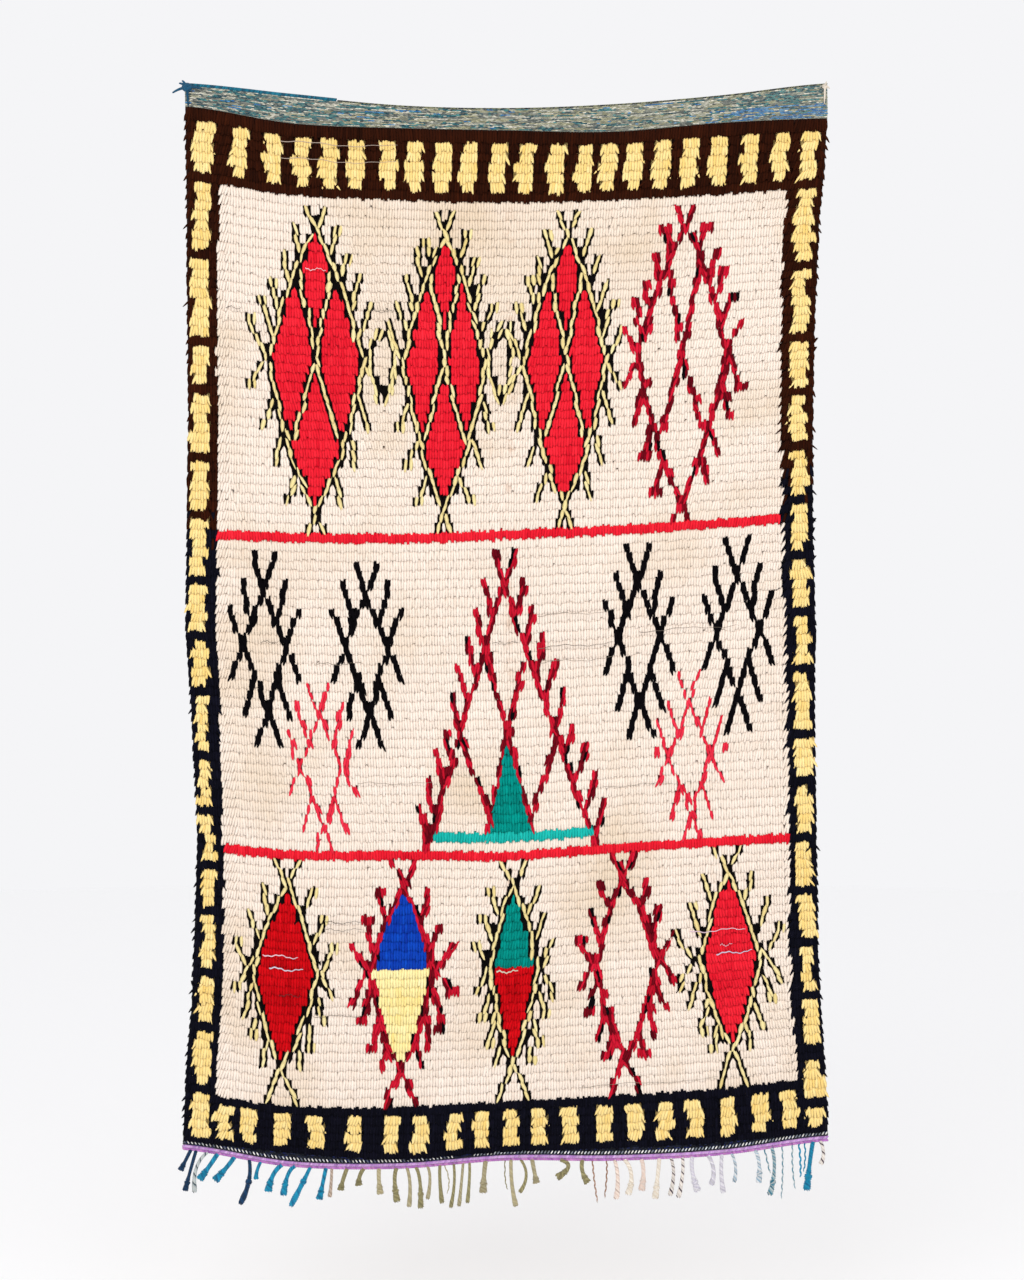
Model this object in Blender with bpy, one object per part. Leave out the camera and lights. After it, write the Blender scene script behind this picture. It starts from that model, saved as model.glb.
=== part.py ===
"""A hand-knotted Moroccan wool rug, hung by its top edge with the pile to the front.

Metres, +Z up. +X is to the right of someone who faces the pile, and +Y goes from the pile to the
wall behind. The origin is the middle of the top edge, at the plane of that wall.
Places on the weaving are given by u, from 0 at the left edge to 1 at the right, and by the row of
knots, from 0 at the first row under the flatwoven heading to PILE_ROWS under the last.
"""

import math
from collections import namedtuple

import bmesh
import bpy
from mathutils import Vector

MM = 0.001

# Driving sizes
PILE_ROWS = 111
COLUMNS = 10
ROWS_IN_A_STRETCH = 5
HEADING_ROW = -4.0
FOOT_ROW = 112.0
HEM_ROW = 113.0
GROUND_THICK = 3.0 * MM
PILE_AT_ROOT = 7.0 * MM
PILE_AT_TIP = 12.0 * MM
PILE_LUMP = 1.6 * MM
TIP_IN_ROW = 0.82
SIDE_LOCK_SHORT = 2.0 * MM
SIDE_LOCK_LONG = 7.0 * MM
GAP = 0.3 * MM
HEADING_CORD_THICK = 4.0 * MM
DARK_CORD_THICK = 3.0 * MM
TEAL_CORD_END = 0.235
CORD_PARTING = 2.0 * MM
CORD_ROUNDING = 0.25
CORD_STEP_LEAST = 8.0 * MM
HEM_CORD_THICK = 4.5 * MM
FRINGE_STRIP_TALL = 4.0 * MM
FRINGE_STRIP_THICK = 3.0 * MM
FRINGE_STRIP_MARGIN = 1.2 * MM
LOCK_DEPTH = 0.8
KNOT_ROUNDING = 0.3
SMOOTH_UP_TO = math.radians(50.0)
FACES_DOWN = -0.8

# Heights of the weft above the origin, in mm, at seven stations from the left edge to the right
Weft = namedtuple("Weft", "name row heights")
WEFTS = (
    Weft("heading top", HEADING_ROW, (40, 19, 0, -5, 2, 19, 42)),
    Weft("pile top", 0.0, (1, -32, -45, -46, -48, -31, -22)),
    Weft("top border foot", 7.0, (-134, -160, -174, -179, -175, -163, -149)),
    Weft("upper red band", 43.5, (-812, -820, -825, -818, -804, -791, -778)),
    Weft("lower red band", 77.5, (-1409, -1422, -1426, -1428, -1412, -1397, -1386)),
    Weft("bottom border head", 105.2, (-1875, -1904, -1907, -1897, -1884, -1870, -1850)),
    Weft("pile foot", 111.0, (-1968, -1988, -2001, -1988, -1979, -1968, -1950)),
    Weft("ground foot", FOOT_ROW, (-1976, -2009, -2012, -1997, -1997, -1986, -1960)),
    Weft("hem foot", HEM_ROW, (-1987, -2020, -2023, -2008, -2008, -1997, -1971)),
)

# How far the back stands off the wall, in mm, at the same seven stations: the soft folds of the
# hung sheet and, at the middle station, the crease that storage has left in it
Fold = namedtuple("Fold", "row stand_off")
FOLDS = (
    Fold(HEADING_ROW, (1, 3, 2, 1, 3, 2, 1)),
    Fold(7.0, (2, 6, 5, 3, 7, 5, 2)),
    Fold(25.0, (6, 9, 7, 4, 9, 8, 5)),
    Fold(43.5, (9, 8, 10, 5, 10, 9, 4)),
    Fold(60.0, (6, 10, 9, 6, 11, 8, 7)),
    Fold(77.5, (3, 9, 11, 6, 10, 9, 9)),
    Fold(95.0, (8, 12, 10, 8, 12, 11, 6)),
    Fold(HEM_ROW, (12, 7, 12, 9, 10, 13, 9)),
)

# The two side edges, in mm from the middle, by height
Side = namedtuple("Side", "height left right")
SIDES = (
    Side(45, -612, 613),
    Side(-10, -611, 614),
    Side(-125, -609, 607),
    Side(-210, -608, 598),
    Side(-420, -606, 588),
    Side(-590, -604, 585),
    Side(-800, -606, 585),
    Side(-1000, -609, 590),
    Side(-1080, -603, 588),
    Side(-1180, -597, 588),
    Side(-1385, -587, 591),
    Side(-1610, -594, 595),
    Side(-1715, -598, 600),
    Side(-1800, -606, 606),
    Side(-1900, -611, 612),
    Side(-2000, -615, 614),
)

# The fringe, in mm: where each lock leaves the hem, how far it swings to the right and drops by
# its middle and by its end, and how wide it is
Lock = namedtuple("Lock", "root mid_swing mid_drop end_swing end_drop width shape")
TEAL_LEFT_LOCKS = (
    Lock(-599, -10, 18, -20, 36, 7, "knotted"),
    Lock(-589, -12, 40, -21, 74, 7, "knotted"),
    Lock(-567, -22, 30, -24, 74, 7, "plain"),
    Lock(-548, -16, 22, -35, 46, 9, "knotted"),
    Lock(-516, -14, 17, -38, 42, 9, "knotted"),
    Lock(-488, -1, 40, -18, 82, 8, "tailed"),
    Lock(-466, -7, 15, -9, 30, 7, "plain"),
    Lock(-426, -17, 18, -26, 48, 9, "knotted"),
    Lock(-401, -14, 16, -22, 53, 8, "knotted"),
    Lock(-372, -13, 25, -38, 72, 8, "tailed"),
    Lock(-342, -6, 27, -13, 57, 8, "knotted"),
)
OLIVE_LOCKS = (
    Lock(-331, -1, 24, -4, 52, 6, "plain"),
    Lock(-302, -8, 22, -12, 38, 8, "knotted"),
    Lock(-270, -8, 14, -9, 29, 8, "knotted"),
    Lock(-241, 0, 21, 3, 46, 8, "knotted"),
    Lock(-207, -4, 22, 1, 62, 8, "knotted"),
    Lock(-188, 6, 30, 4, 72, 7, "plain"),
    Lock(-171, 8, 26, 9, 76, 7, "knotted"),
    Lock(-149, 5, 23, 0, 60, 6, "plain"),
    Lock(-125, 0, 28, 4, 70, 7, "plain"),
    Lock(-117, 9, 28, 5, 52, 3, "thin"),
    Lock(-99, 1, 37, -6, 81, 6, "plain"),
    Lock(-81, -3, 34, -8, 80, 6, "plain"),
    Lock(-69, 0, 29, -4, 75, 6, "plain"),
    Lock(-38, -3, 24, -5, 58, 9, "knotted"),
    Lock(-1, 0, 34, 5, 53, 3, "thin"),
    Lock(10, 2, 46, 10, 86, 8, "plain"),
    Lock(28, 11, 29, -2, 60, 6, "plain"),
    Lock(50, 5, 24, 9, 42, 8, "knotted"),
    Lock(104, 15, 12, -8, 31, 8, "knotted"),
    Lock(146, 0, 20, 11, 40, 8, "knotted"),
    Lock(165, 4, 40, 10, 78, 4, "thin"),
    Lock(192, 0, 30, -4, 70, 4, "thin"),
)
PALE_LOCKS = (
    Lock(207, 6, 32, 3, 72, 8, "plain"),
    Lock(226, 13, 28, 6, 64, 8, "knotted"),
    Lock(258, 4, 24, 0, 57, 8, "knotted"),
    Lock(292, -3, 32, -8, 74, 8, "knotted"),
    Lock(314, 5, 30, -2, 69, 7, "plain"),
    Lock(336, 0, 32, -8, 74, 7, "plain"),
    Lock(355, 0, 28, 11, 63, 8, "knotted"),
    Lock(385, 10, 26, 5, 53, 8, "plain"),
    Lock(411, -1, 35, 3, 70, 8, "plain"),
    Lock(429, 8, 24, 5, 52, 6, "plain"),
)
TEAL_RIGHT_LOCKS = (
    Lock(474, 8, 24, 7, 59, 7, "knotted"),
    Lock(492, 6, 24, 11, 44, 4, "thin"),
    Lock(506, 5, 38, -4, 88, 7, "knotted"),
    Lock(526, 1, 49, -2, 98, 4, "thin"),
    Lock(546, 0, 41, 5, 82, 4, "thin"),
    Lock(558, 3, 33, 3, 62, 5, "thin"),
    Lock(569, 1, 28, -2, 52, 4, "thin"),
    Lock(585, -6, 38, -12, 90, 9, "knotted"),
    Lock(599, 6, 22, 0, 41, 7, "plain"),
)

# The corner knots, in mm: the middle and size of the knot, then each loose end's way out of it and
# the offsets and widths along it
Knot = namedtuple("Knot", "middle size tails")
LEFT_KNOT = Knot((-607, -10, 36), (15, 8, 13), (
    ((-1, 0, 0), (((-12, 2, -2), 8), ((-20, 3, -5), 6), ((-28, 4, -9), 2))),
    ((0, 0, 1), (((-3, 2, 10), 5), ((-9, 3, 16), 3))),
))
RIGHT_KNOT = Knot((608, -8, 38), (9, 5, 8), (
    ((0, 0, 1), (((1, 1, 8), 4), ((4, 2, 12), 2))),
    ((1, 0, 0), (((8, 1, -1), 3), ((11, 2, -4), 2))),
))

# How thick a lock is, as a share of its width, at shares of its way down
LOCK_SHAPES = {
    "knotted": ((0.25, 1.0), (0.48, 0.95), (0.64, 1.0), (0.77, 1.9), (0.9, 1.6), (1.0, 1.2)),
    "tailed": ((0.2, 1.0), (0.36, 1.0), (0.5, 1.8), (0.64, 1.2), (0.82, 1.4), (1.0, 0.6)),
    "plain": ((0.25, 0.95), (0.5, 0.95), (0.75, 1.1), (1.0, 1.5)),
    "thin": ((0.35, 1.0), (0.7, 1.0), (1.0, 0.9)),
}


def through(values, place):
    """Read a smooth curve through evenly spaced values, at a place from 0 to 1."""
    last = len(values) - 1
    spot = min(max(place, 0.0), 1.0) * last
    first = min(int(spot), last - 1)
    t = spot - first
    before, here, there, after = (values[min(max(first + k, 0), last)] for k in (-1, 0, 1, 2))
    bend = 2 * before - 5 * here + 4 * there - after
    twist = 3 * (here - there) + after - before
    return here + 0.5 * t * (there - before + t * (bend + t * twist))


def between(table, key, place):
    """Find the two rows of a table on either side of a place, and the share of the way."""
    keys = [getattr(row, key) for row in table]
    for upper, lower, low, high in zip(table, table[1:], keys, keys[1:]):
        if min(low, high) <= place <= max(low, high):
            return upper, lower, (place - low) / (high - low)
    nearest = table[0] if abs(place - keys[0]) < abs(place - keys[-1]) else table[-1]
    return nearest, nearest, 0.0


def weft_height(u, row):
    upper, lower, share = between(WEFTS, "row", row)
    return MM * ((1 - share) * through(upper.heights, u) + share * through(lower.heights, u))


def stand_off(u, row):
    upper, lower, share = between(FOLDS, "row", row)
    soft = share * share * (3 - 2 * share)
    return MM * ((1 - soft) * through(upper.stand_off, u) + soft * through(lower.stand_off, u))


def side_edges(row):
    """The left and right edge of one row, each at its own height."""
    edges = []
    for u, name in ((0.0, "left"), (1.0, "right")):
        upper, lower, share = between(SIDES, "height", weft_height(u, row) / MM)
        start, end = getattr(upper, name), getattr(lower, name)
        edges.append(MM * (start + share * (end - start)))
    return edges


def on_back(u, row):
    """A point on the back of the weaving."""
    left, right = side_edges(row)
    return Vector((left + u * (right - left), -stand_off(u, row), weft_height(u, row)))


def on_edge(x, row, columns=COLUMNS):
    """A point at a given x on one weft line, which is straight between the columns."""
    left, right = side_edges(row)
    spot = min(max((x - left) / (right - left), 0.0), 1.0) * columns
    first = min(int(spot), columns - 1)
    start, end = (on_back((first + k) / columns, row) for k in (0, 1))
    return start.lerp(end, spot - first)


def ripple(row, column):
    """An even-handed unevenness, from -1 to 1, that is the same each time."""
    waves = math.sin(1.7 * row + 2.3 * column) + math.sin(0.37 * row - 1.1 * column)
    return 0.5 * waves


def material(name, colour, roughness):
    finish = bpy.data.materials.new(name)
    finish.use_nodes = True
    shader = finish.node_tree.nodes["Principled BSDF"]
    shader.inputs["Base Color"].default_value = (*colour, 1.0)
    shader.inputs["Roughness"].default_value = roughness
    shader.inputs["Metallic"].default_value = 0.0
    return finish


def new_object(name, bm, colour, roughness=0.95):
    bmesh.ops.recalc_face_normals(bm, faces=bm.faces)
    if bm.calc_volume(signed=True) < 0.0:
        bmesh.ops.reverse_faces(bm, faces=bm.faces)
    mesh = bpy.data.meshes.new(name)
    bm.to_mesh(mesh)
    bm.free()
    mesh.materials.append(material(name + "_wool", colour, roughness))
    mesh.shade_smooth()
    mesh.set_sharp_from_angle(angle=SMOOTH_UP_TO)
    thing = bpy.data.objects.new(name, mesh)
    bpy.context.scene.collection.objects.link(thing)
    return thing


def grid(bm, columns, levels, place):
    """A grid of quads whose points are placed one by one, returned level by level."""
    made = bmesh.ops.create_grid(bm, x_segments=columns, y_segments=levels - 1, size=0.5)
    table = [[None] * (columns + 1) for _ in range(levels)]
    for vert in made["verts"]:
        column = round((vert.co.x + 0.5) * columns)
        level = round((0.5 - vert.co.y) * (levels - 1))
        table[level][column] = vert
    for level, verts in enumerate(table):
        for column, vert in enumerate(verts):
            vert.co = place(level, column)
    return table


def pile_levels():
    """Row and cover of every line of points down the front of the rug."""
    levels = [(HEADING_ROW, 0.0), (0.0, 0.0)]
    for row in range(PILE_ROWS):
        levels.append((float(row), PILE_AT_ROOT))
        levels.append((row + TIP_IN_ROW, PILE_AT_TIP))
    levels += [(float(PILE_ROWS), 0.0), (FOOT_ROW, 0.0)]
    return levels


def rug_body():
    """Ground weave, flatwoven ends and pile, with a ridge for each row and locks at the sides."""
    front = pile_levels()
    back = [(HEADING_ROW, 0), (0.0, 1)]
    back += [(float(row), 2 + 2 * row) for row in range(ROWS_IN_A_STRETCH, PILE_ROWS,
                                                        ROWS_IN_A_STRETCH)]
    back += [(float(PILE_ROWS), len(front) - 2), (FOOT_ROW, len(front) - 1)]

    def place_front(level, column):
        row, cover = front[level]
        point = on_back(column / COLUMNS, row)
        lump = PILE_LUMP * ripple(row, column) if cover else 0.0
        point.y -= GROUND_THICK + cover + lump
        if cover == PILE_AT_TIP and column in (0, COLUMNS):
            reach = 0.5 + 0.5 * ripple(5 * row, column)
            lock = SIDE_LOCK_SHORT + (SIDE_LOCK_LONG - SIDE_LOCK_SHORT) * reach
            point.x += lock if column else -lock
        return point

    def place_back(level, column):
        return on_back(column / COLUMNS, back[level][0])

    bm = bmesh.new()
    front_points = grid(bm, COLUMNS, len(front), place_front)
    back_points = grid(bm, COLUMNS, len(back), place_back)
    for level in (0, -1):
        for column in range(COLUMNS):
            near = front_points[level][column:column + 2]
            far = back_points[level][column:column + 2]
            bm.faces.new((*near, *reversed(far)))
    rims = []
    for column in (0, -1):
        for upper in range(len(back) - 1):
            first, last = back[upper][1], back[upper + 1][1]
            near = [points[column] for points in front_points[first:last + 1]]
            far = [back_points[level][column] for level in (upper + 1, upper)]
            rims.append(bm.faces.new((*near, *far)))
    bmesh.ops.triangulate(bm, faces=rims, ngon_method="EAR_CLIP")
    return new_object("rug_body", bm, (0.80, 0.66, 0.52))


def column_stops(row, start=None, end=None):
    """The x of each column on a weft line, between two ends."""
    left, right = side_edges(row)
    start = left if start is None else start
    end = right if end is None else end
    inner = [left + (right - left) * column / COLUMNS for column in range(COLUMNS + 1)]
    return [start] + [x for x in inner if start + MM < x < end - MM] + [end]


def bar(stops, row, top, tall, thick):
    """A bar that follows one weft line, with its top a given height over that line."""
    middles = []
    for x in stops:
        edge = on_edge(x, row)
        middles.append(Vector((x, edge.y - 0.5 * GROUND_THICK, edge.z + top - 0.5 * tall)))
    bm = bmesh.new()
    corners = [bm.verts.new(middles[0] + Vector((0.0, y * thick / 2, z * tall / 2)))
               for y, z in ((-1, -1), (1, -1), (1, 1), (-1, 1))]
    cap = bm.faces.new(corners)
    for here, there in zip(middles, middles[1:]):
        cap = bmesh.ops.extrude_discrete_faces(bm, faces=[cap])["faces"][0]
        bmesh.ops.translate(bm, verts=cap.verts, vec=there - here)
    bmesh.ops.holes_fill(bm, edges=[edge for edge in bm.edges if edge.is_boundary], sides=4)
    bmesh.ops.recalc_face_normals(bm, faces=bm.faces)
    return bm


def sprout(bm, face, rings):
    """Push a four-cornered face out through rings, each a middle, a width and a depth."""
    middle = face.calc_center_median()
    across = Vector((-face.normal.z, 0.0, face.normal.x)).normalized()
    for target, width, depth in rings:
        way = target - middle
        turned = Vector((-way.z, 0.0, way.x)).normalized()
        face = bmesh.ops.extrude_discrete_faces(bm, faces=[face])["faces"][0]
        for vert in face.verts:
            offset = vert.co - middle
            side = math.copysign(0.5 * width, offset.dot(across))
            front = math.copysign(0.5 * depth, offset.y)
            vert.co = target + side * turned + Vector((0.0, front, 0.0))
        middle, across = target, turned
    return face


def lock_rings(lock, root):
    """Rings of one fringe lock, on a curve from its root through its middle to its end."""
    width = lock.width * MM
    middle = root + Vector((lock.mid_swing, 0.0, -lock.mid_drop)) * MM
    end = root + Vector((lock.end_swing, 0.0, -lock.end_drop)) * MM
    rings = []
    for t, share in LOCK_SHAPES[lock.shape]:
        point = (1 - t) * (1 - 2 * t) * root + 4 * t * (1 - t) * middle + t * (2 * t - 1) * end
        rings.append((point, share * width, share * width * LOCK_DEPTH))
    return rings


def fringe(name, locks, colour):
    """Knotted locks whose roots share one narrow strip under the hem."""
    edges = [x for lock in locks
             for x in (MM * (lock.root - lock.width / 2), MM * (lock.root + lock.width / 2))]
    start, end = edges[0] - FRINGE_STRIP_MARGIN, edges[-1] + FRINGE_STRIP_MARGIN
    stops = edges + [x for x in column_stops(HEM_ROW, start, end)
                     if all(abs(x - MM * lock.root) > lock.width * MM for lock in locks)]
    stops = sorted(set(stops + [start, end]))
    bm = bar(stops, HEM_ROW, -GAP, FRINGE_STRIP_TALL, FRINGE_STRIP_THICK)
    under = [face for face in bm.faces if face.normal.z < FACES_DOWN]
    roots = [min(under, key=lambda face: abs(face.calc_center_median().x - lock.root * MM))
             for lock in locks]
    for lock, root in zip(locks, roots):
        sprout(bm, root, lock_rings(lock, root.calc_center_median()))
    return new_object(name, bm, colour)


def cords():
    """Twined edges: teal and dark along the heading, lilac along the hem."""
    left, right = side_edges(HEADING_ROW)
    teal_end = left + TEAL_CORD_END * (right - left)
    dark_start = teal_end + CORD_PARTING
    for name, stops, row, top, tall, thick, colour in (
        ("heading_cord_teal", column_stops(HEADING_ROW, end=teal_end), HEADING_ROW,
         GAP + HEADING_CORD_THICK, HEADING_CORD_THICK, HEADING_CORD_THICK, (0.0, 0.16, 0.30)),
        ("heading_cord_dark", column_stops(HEADING_ROW, start=dark_start), HEADING_ROW,
         GAP + DARK_CORD_THICK, DARK_CORD_THICK, DARK_CORD_THICK, (0.05, 0.06, 0.07)),
    ):
        bm = bar(stops, row, top, tall, thick)
        lengthwise = [edge for edge in bm.edges if edge.calc_length() > CORD_STEP_LEAST]
        bmesh.ops.bevel(bm, geom=lengthwise, offset=CORD_ROUNDING * thick, segments=1,
                        affect="EDGES", profile=0.5, material=-1)
        new_object(name, bm, colour)


def hem():
    """The lilac band, from just under the ground's foot to the weft line of the hem."""
    bm = bmesh.new()
    stops = column_stops(HEM_ROW)

    def place(level, column):
        x = stops[column]
        foot = on_edge(x, HEM_ROW)
        head = on_edge(x, FOOT_ROW)
        y = 0.5 * (head.y + foot.y) - 0.5 * GROUND_THICK
        front = -0.5 * HEM_CORD_THICK if level in (1, 2) else 0.5 * HEM_CORD_THICK
        z = head.z - GAP if level in (0, 1) else foot.z
        return Vector((x, y + front, z))

    ring = grid(bm, COLUMNS, 4, place)
    for column in range(COLUMNS):
        bm.faces.new((ring[3][column], ring[3][column + 1], ring[0][column + 1], ring[0][column]))
    for column in (0, COLUMNS):
        bm.faces.new([ring[level][column] for level in range(4)])
    return new_object("hem_cord_lilac", bm, (0.46, 0.21, 0.52))


def knot(name, middle, size, tails, colour):
    """A tied knot of yarn in front of a corner of the heading, with its loose ends."""
    bm = bmesh.new()
    bmesh.ops.create_cube(bm, size=1.0)
    bmesh.ops.scale(bm, verts=bm.verts, vec=Vector(size) * MM)
    bmesh.ops.bevel(bm, geom=bm.edges[:], offset=KNOT_ROUNDING * min(size) * MM, segments=1,
                    affect="EDGES", profile=0.5, material=-1)
    bmesh.ops.translate(bm, verts=bm.verts, vec=Vector(middle) * MM)
    bmesh.ops.recalc_face_normals(bm, faces=bm.faces)
    centre = Vector(middle) * MM
    ends = [max(bm.faces, key=lambda item: (item.calc_center_median() - centre).dot(Vector(way)))
            for way, rings in tails]
    for face, (way, rings) in zip(ends, tails):
        sprout(bm, face, [(centre + Vector(offset) * MM, width * MM, LOCK_DEPTH * width * MM)
                          for offset, width in rings])
    return new_object(name, bm, colour)


def build():
    for thing in list(bpy.data.objects):
        bpy.data.objects.remove(thing)
    rug_body()
    cords()
    hem()
    knot("corner_knot_left", *LEFT_KNOT, (0.0, 0.14, 0.28))
    knot("corner_knot_right", *RIGHT_KNOT, (0.75, 0.68, 0.56))
    fringe("fringe_teal_left", TEAL_LEFT_LOCKS, (0.0, 0.14, 0.28))
    fringe("fringe_olive", OLIVE_LOCKS, (0.28, 0.25, 0.12))
    fringe("fringe_pale", PALE_LOCKS, (0.72, 0.66, 0.58))
    fringe("fringe_teal_right", TEAL_RIGHT_LOCKS, (0.05, 0.22, 0.32))


build()
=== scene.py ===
# %% [markdown]
# # A hand-knotted Moroccan rug, hung by its top edge
# A Berber weaver ties this rug on an upright loom: a plain ground of warps and wefts, with one row
# of wool knots after every few wefts, so that the cut ends hang down over the row below. Here the
# rug is dressed in the same order: the cloth, then a chart of coloured knots, then one lock of wool
# for each knot, and last the cords, the stitches and the knotted fringe.

import math
from collections import namedtuple

import bmesh
import bpy
import numpy as np
from mathutils import Matrix, Vector


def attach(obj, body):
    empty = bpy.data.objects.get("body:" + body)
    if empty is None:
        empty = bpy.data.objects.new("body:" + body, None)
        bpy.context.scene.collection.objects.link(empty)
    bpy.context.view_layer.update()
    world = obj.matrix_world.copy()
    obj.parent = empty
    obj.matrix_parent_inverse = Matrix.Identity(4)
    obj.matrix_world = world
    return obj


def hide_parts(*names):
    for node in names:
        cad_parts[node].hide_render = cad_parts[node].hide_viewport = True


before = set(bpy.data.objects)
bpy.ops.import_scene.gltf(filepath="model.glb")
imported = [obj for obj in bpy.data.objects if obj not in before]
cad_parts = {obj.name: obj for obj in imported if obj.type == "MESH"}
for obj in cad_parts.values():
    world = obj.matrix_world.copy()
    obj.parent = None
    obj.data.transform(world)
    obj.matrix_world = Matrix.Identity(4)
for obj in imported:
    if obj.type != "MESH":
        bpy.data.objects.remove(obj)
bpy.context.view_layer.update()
MM = 0.001

# %% [markdown]
# A woven thing is easiest to lay out flat and hang afterwards. Each place on the rug is named by u,
# from 0 at the left edge to 1 at the right, by its row of knots, counted down from the heading, and
# by how far it stands out of the cloth. The tables say where seven places along a few wefts hang,
# how far the folds stand off the wall, and how the two edges wander. One function turns such places
# into points in the room, for whole arrays at once, so that every later piece can use it.

# %% How the cloth hangs
PILE_ROWS = 111
KNOTS = 228
HEADING_ROW = -4.0
FOOT_ROW = 112.0
HEM_ROW = 113.0
GROUND_THICK = 3.0 * MM
CLOTH_WIDE = 1.2
KNOT_WIDE = CLOTH_WIDE / KNOTS

WEFTS = (
    (HEADING_ROW, (40, 19, 0, -5, 2, 19, 42)),
    (0.0, (1, -32, -41, -45, -48, -31, -22)),
    (7.0, (-134, -163, -172, -177, -173, -162, -149)),
    (43.5, (-807, -814, -816, -809, -801, -789, -775)),
    (77.5, (-1403, -1418, -1418, -1420, -1405, -1393, -1383)),
    (105.2, (-1871, -1899, -1899, -1889, -1878, -1864, -1844)),
    (111.0, (-1968, -1988, -2001, -1988, -1979, -1968, -1950)),
    (FOOT_ROW, (-1976, -2009, -2012, -1997, -1997, -1986, -1960)),
    (HEM_ROW, (-1987, -2020, -2023, -2008, -2008, -1997, -1971)),
)
FOLDS = (
    (HEADING_ROW, (1, 3, 2, 1, 3, 2, 1)),
    (7.0, (2, 6, 5, 3, 7, 5, 2)),
    (25.0, (6, 9, 7, 4, 9, 8, 5)),
    (43.5, (9, 8, 10, 5, 10, 9, 4)),
    (60.0, (6, 10, 9, 6, 11, 8, 7)),
    (77.5, (3, 9, 11, 6, 10, 9, 9)),
    (95.0, (8, 12, 10, 8, 12, 11, 6)),
    (HEM_ROW, (12, 7, 12, 9, 10, 13, 9)),
)
SIDES = (
    (45, -612, 613), (-10, -611, 614), (-125, -609, 607), (-210, -608, 598),
    (-420, -606, 588), (-590, -604, 585), (-800, -606, 585), (-1000, -609, 590),
    (-1080, -603, 588), (-1180, -597, 588), (-1385, -587, 591), (-1610, -594, 595),
    (-1715, -598, 600), (-1800, -606, 606), (-1900, -611, 612), (-2000, -615, 614),
)


def through(values, place):
    """Read a smooth curve through evenly spaced values, at places from 0 to 1."""
    values = np.asarray(values, float)
    last = len(values) - 1
    spot = np.clip(place, 0.0, 1.0) * last
    first = np.minimum(spot.astype(int), last - 1)
    t = spot - first
    before, here, there, after = (values[np.clip(first + k, 0, last)] for k in (-1, 0, 1, 2))
    bend = 2 * before - 5 * here + 4 * there - after
    twist = 3 * (here - there) + after - before
    return here + 0.5 * t * (there - before + t * (bend + t * twist))


def down_table(table, u, row, soft):
    """Blend the curves of a table from one of its rows to the next, in mm."""
    keys = np.array([key for key, values in table])
    curves = np.array([through(values, u) for key, values in table])
    upper = np.clip(np.searchsorted(keys, row, side="right") - 1, 0, len(keys) - 2)
    share = np.clip((row - keys[upper]) / (keys[upper + 1] - keys[upper]), 0.0, 1.0)
    if soft:
        share = share * share * (3 - 2 * share)
    spots = np.arange(len(u))
    return (1 - share) * curves[upper, spots] + share * curves[upper + 1, spots]


def on_cloth(u, row, out):
    """Points on the hung rug: across, down, and out of the front of the ground."""
    u, row, out = (np.asarray(values, float).ravel() for values in (u, row, out))
    height = down_table(WEFTS, u, row, soft=False)
    heights, lefts, rights = np.array(SIDES, float)[::-1].T
    left = np.interp(height, heights, lefts)
    right = np.interp(height, heights, rights)
    y = -MM * down_table(FOLDS, u, row, soft=True) - GROUND_THICK - out
    return np.column_stack([MM * (left + u * (right - left)), y, MM * height])


corners = on_cloth([0, 1, 0, 1], [HEADING_ROW, HEADING_ROW, FOOT_ROW, FOOT_ROW], [0] * 4)
print("cloth corners", np.round(corners, 3).tolist())

# %% [markdown]
# The weaver works from memory, with a few rules: a border of blocks, and lozenges whose edges run
# on past their corners and carry barbs like the teeth of a comb. So the pattern is drawn here by
# the same rules, on a chart with one number for each knot. A lock hangs over the row below, so what
# is seen of it lies a row under its knot, and the drawing helpers allow for that. They also note the
# slant of each line, because the locks of a line are combed along it.

# %% The chart and its yarns
YARNS = ("cream", "brown", "ink", "straw", "butter", "black", "jet", "red", "scarlet", "crimson",
         "wine", "coral", "teal", "blue", "primrose", "aqua")
Yarn = namedtuple("Yarn", YARNS)
Y = Yarn(*range(len(YARNS)))
chart = np.full((PILE_ROWS, KNOTS), Y.cream)
slopes = np.full(chart.shape, np.nan)
dice = np.random.default_rng(11)
SEEN_UNDER = 1.0
OVERREACH = 0.4
SLANT_STRAY = 0.4
EDGED = (Y.black, Y.butter, Y.black)
DARK = (Y.jet, Y.jet)
WINE = (Y.crimson, Y.crimson)
ROSE = (Y.coral,)


def knots_in_row(row, middle, yarns, slope=np.nan):
    """Tie a short run of knots, centred on a place across, and note how the line slants there."""
    first = round(middle - 0.5 * (len(yarns) - 1))
    for step, yarn in enumerate(yarns):
        if 0 <= row < PILE_ROWS and 0 <= first + step < KNOTS:
            chart[row, first + step] = yarn
            slopes[row, first + step] = slope


def line(yarns, *points, ragged=0.4):
    """Tie a line through points, each a knot across and a row as seen."""
    for (x0, row0), (x1, row1) in zip(points, points[1:]):
        low, high = sorted((row0 - SEEN_UNDER, row1 - SEEN_UNDER))
        for row in range(math.ceil(low - OVERREACH), math.floor(high + OVERREACH) + 1):
            share = (row + SEEN_UNDER - row0) / (row1 - row0)
            middle = x0 + min(max(share, 0.0), 1.0) * (x1 - x0)
            slope = (x1 - x0) / (row1 - row0) + dice.normal(0.0, SLANT_STRAY)
            knots_in_row(row, middle + dice.uniform(-ragged, ragged), yarns, slope)


def fill(yarn, first_seen, last_seen, left, right):
    """Tie every knot between two edges, each a function of the row as seen."""
    for row in range(round(first_seen - SEEN_UNDER), round(last_seen - SEEN_UNDER) + 1):
        start, end = (edge(row + SEEN_UNDER) for edge in (left, right))
        if end > start:
            chart[row, round(start):round(end) + 1] = yarn


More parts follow.
